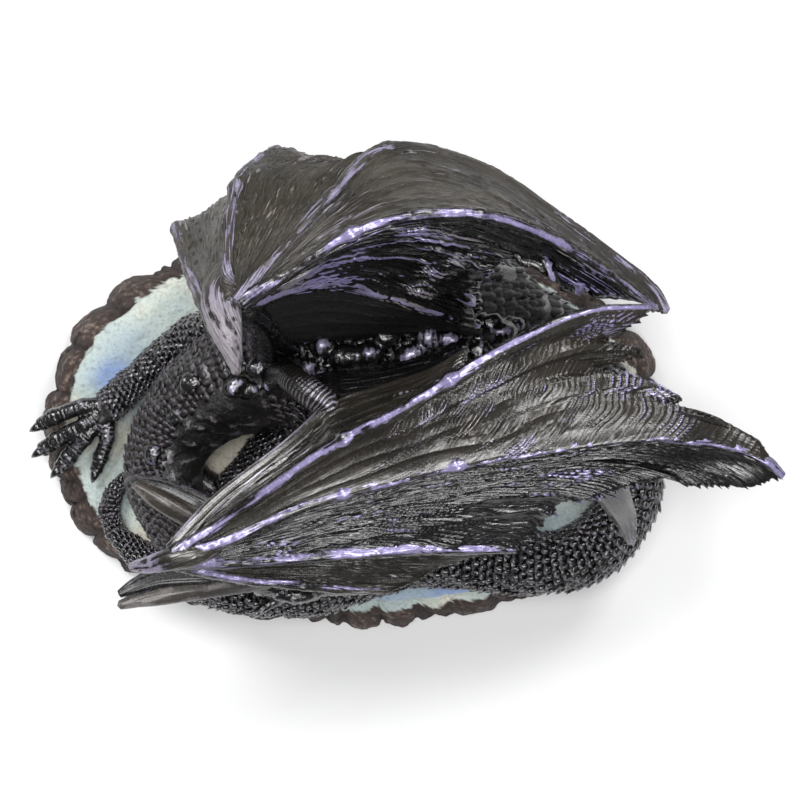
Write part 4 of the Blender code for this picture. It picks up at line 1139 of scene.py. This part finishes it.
upper = [wing_skin(SPREAD_FINGERS[0], SPREAD_FINGERS[1], UPPER_EDGE, 3.0, (0.5, 0.9), 0.7,
                   4, crease=1.4, lavender=1.0, olive=1.0, shine=0.95, seed=71, ragged=1.2,
                   calm=0.3)]
lower = [wing_skin(SPREAD_FINGERS[1], SPREAD_FINGERS[2], LOWER_EDGE, 3.5, feather=-0.16,
                   pleats=6, crease=1.5, lavender=1.1, olive=0.1, shine=0.36, seed=77, ragged=1.2,
                   cell=(0.55, 0.9)),
         wing_skin(SPREAD_FINGERS[2], SPREAD_FINGERS[3], [(42, -47, 62), (28, -53, 59)], 3.0,
                   pleats=4, crease=1.2, lavender=0.3, olive=0.7, shine=0.36, seed=83)]
inside = [wing_skin(arm_line, SPREAD_FINGERS[0][:6] + [(39, 20, 119, 3)], [], 2.0, pleats=4,
                    crease=1.4, lavender=0.3, olive=0.5, shine=0.36, seed=89, calm=0.3),
          wing_skin(SPREAD_FOLD, SPREAD_FLANK, [], 1.0, pleats=9, crease=1.0, lavender=0.3,
                    olive=0.0, shine=0.4, seed=95)]
cast_dragon("spread_wing_upper_skin", upper, pearl)
cast_dragon("spread_wing_lower_skins", lower, pearl)
cast_dragon("spread_wing_inner_skins", inside, pearl)


def arm_ridges(run, turn, radius):
    ridge = np.abs(np.sin(turn * 2.5 + 0.3)) ** 3
    worn = 0.8 + 0.4 * cloud(run / 9, turn * 2, 35, 2)
    return 0.9 * ridge, brush_of(0.1 + 0.6 * ridge * worn, 0.4, 0.7)


def elbow_rings(run, turn, radius):
    ring = np.abs(np.sin(run * math.pi / 1.4 + 0.9 * np.cos(turn + 0.5)
                         + 0.8 * cloud(run / 4, turn * 1.5, 36)))
    # The rings are painted darker towards the end joined to the arm, where it goes into shade
    # under the wing: painted shade.
    painted_light = np.clip(run / 13 - 0.25, 0.05, 1)
    return (ring - 0.6) * 0.55, brush_of(0.65 * ring ** 2 * painted_light, 0.4, 0.3)


def spur_ribs(run, turn, radius):
    rib = np.abs(np.sin(turn * 5 + 0.5)) ** 2
    tip = np.clip(run / 30 - 1.2, 0, 1)
    return (rib - 0.5) * 0.8, brush_of(0.05 + 0.3 * rib + 0.5 * tip, 0.4)


# For each finger: thin, shine and seed.
spread_looks = [(0.78, 0.8, 70), (0.78, 0.8, 71), (1.15, 0.8, 72), (0.9, 0.5, 73)]
spread_bones = [finger(points, thin, shine, seed=seed)
                for points, (thin, shine, seed) in zip(SPREAD_FINGERS, spread_looks)]
spread_bones += [limb([(*p[:3], p[3] * 0.9) for p in SPREAD_FOREARM], 0.6, 30, arm_ridges),
                 limb(SPREAD_ARM, 1.0, 28, arm_ribs),
                 limb(SPREAD_ELBOW, 0.3, 40, elbow_rings),
                 limb(SPREAD_THUMB, 0.7, 24, spike_streaks),
                 limb(SPREAD_SPUR, 0.8, 24, spur_ribs, wide=1.1, tall=0.55)]
cast_dragon("spread_wing_bones", spread_bones, pearl)
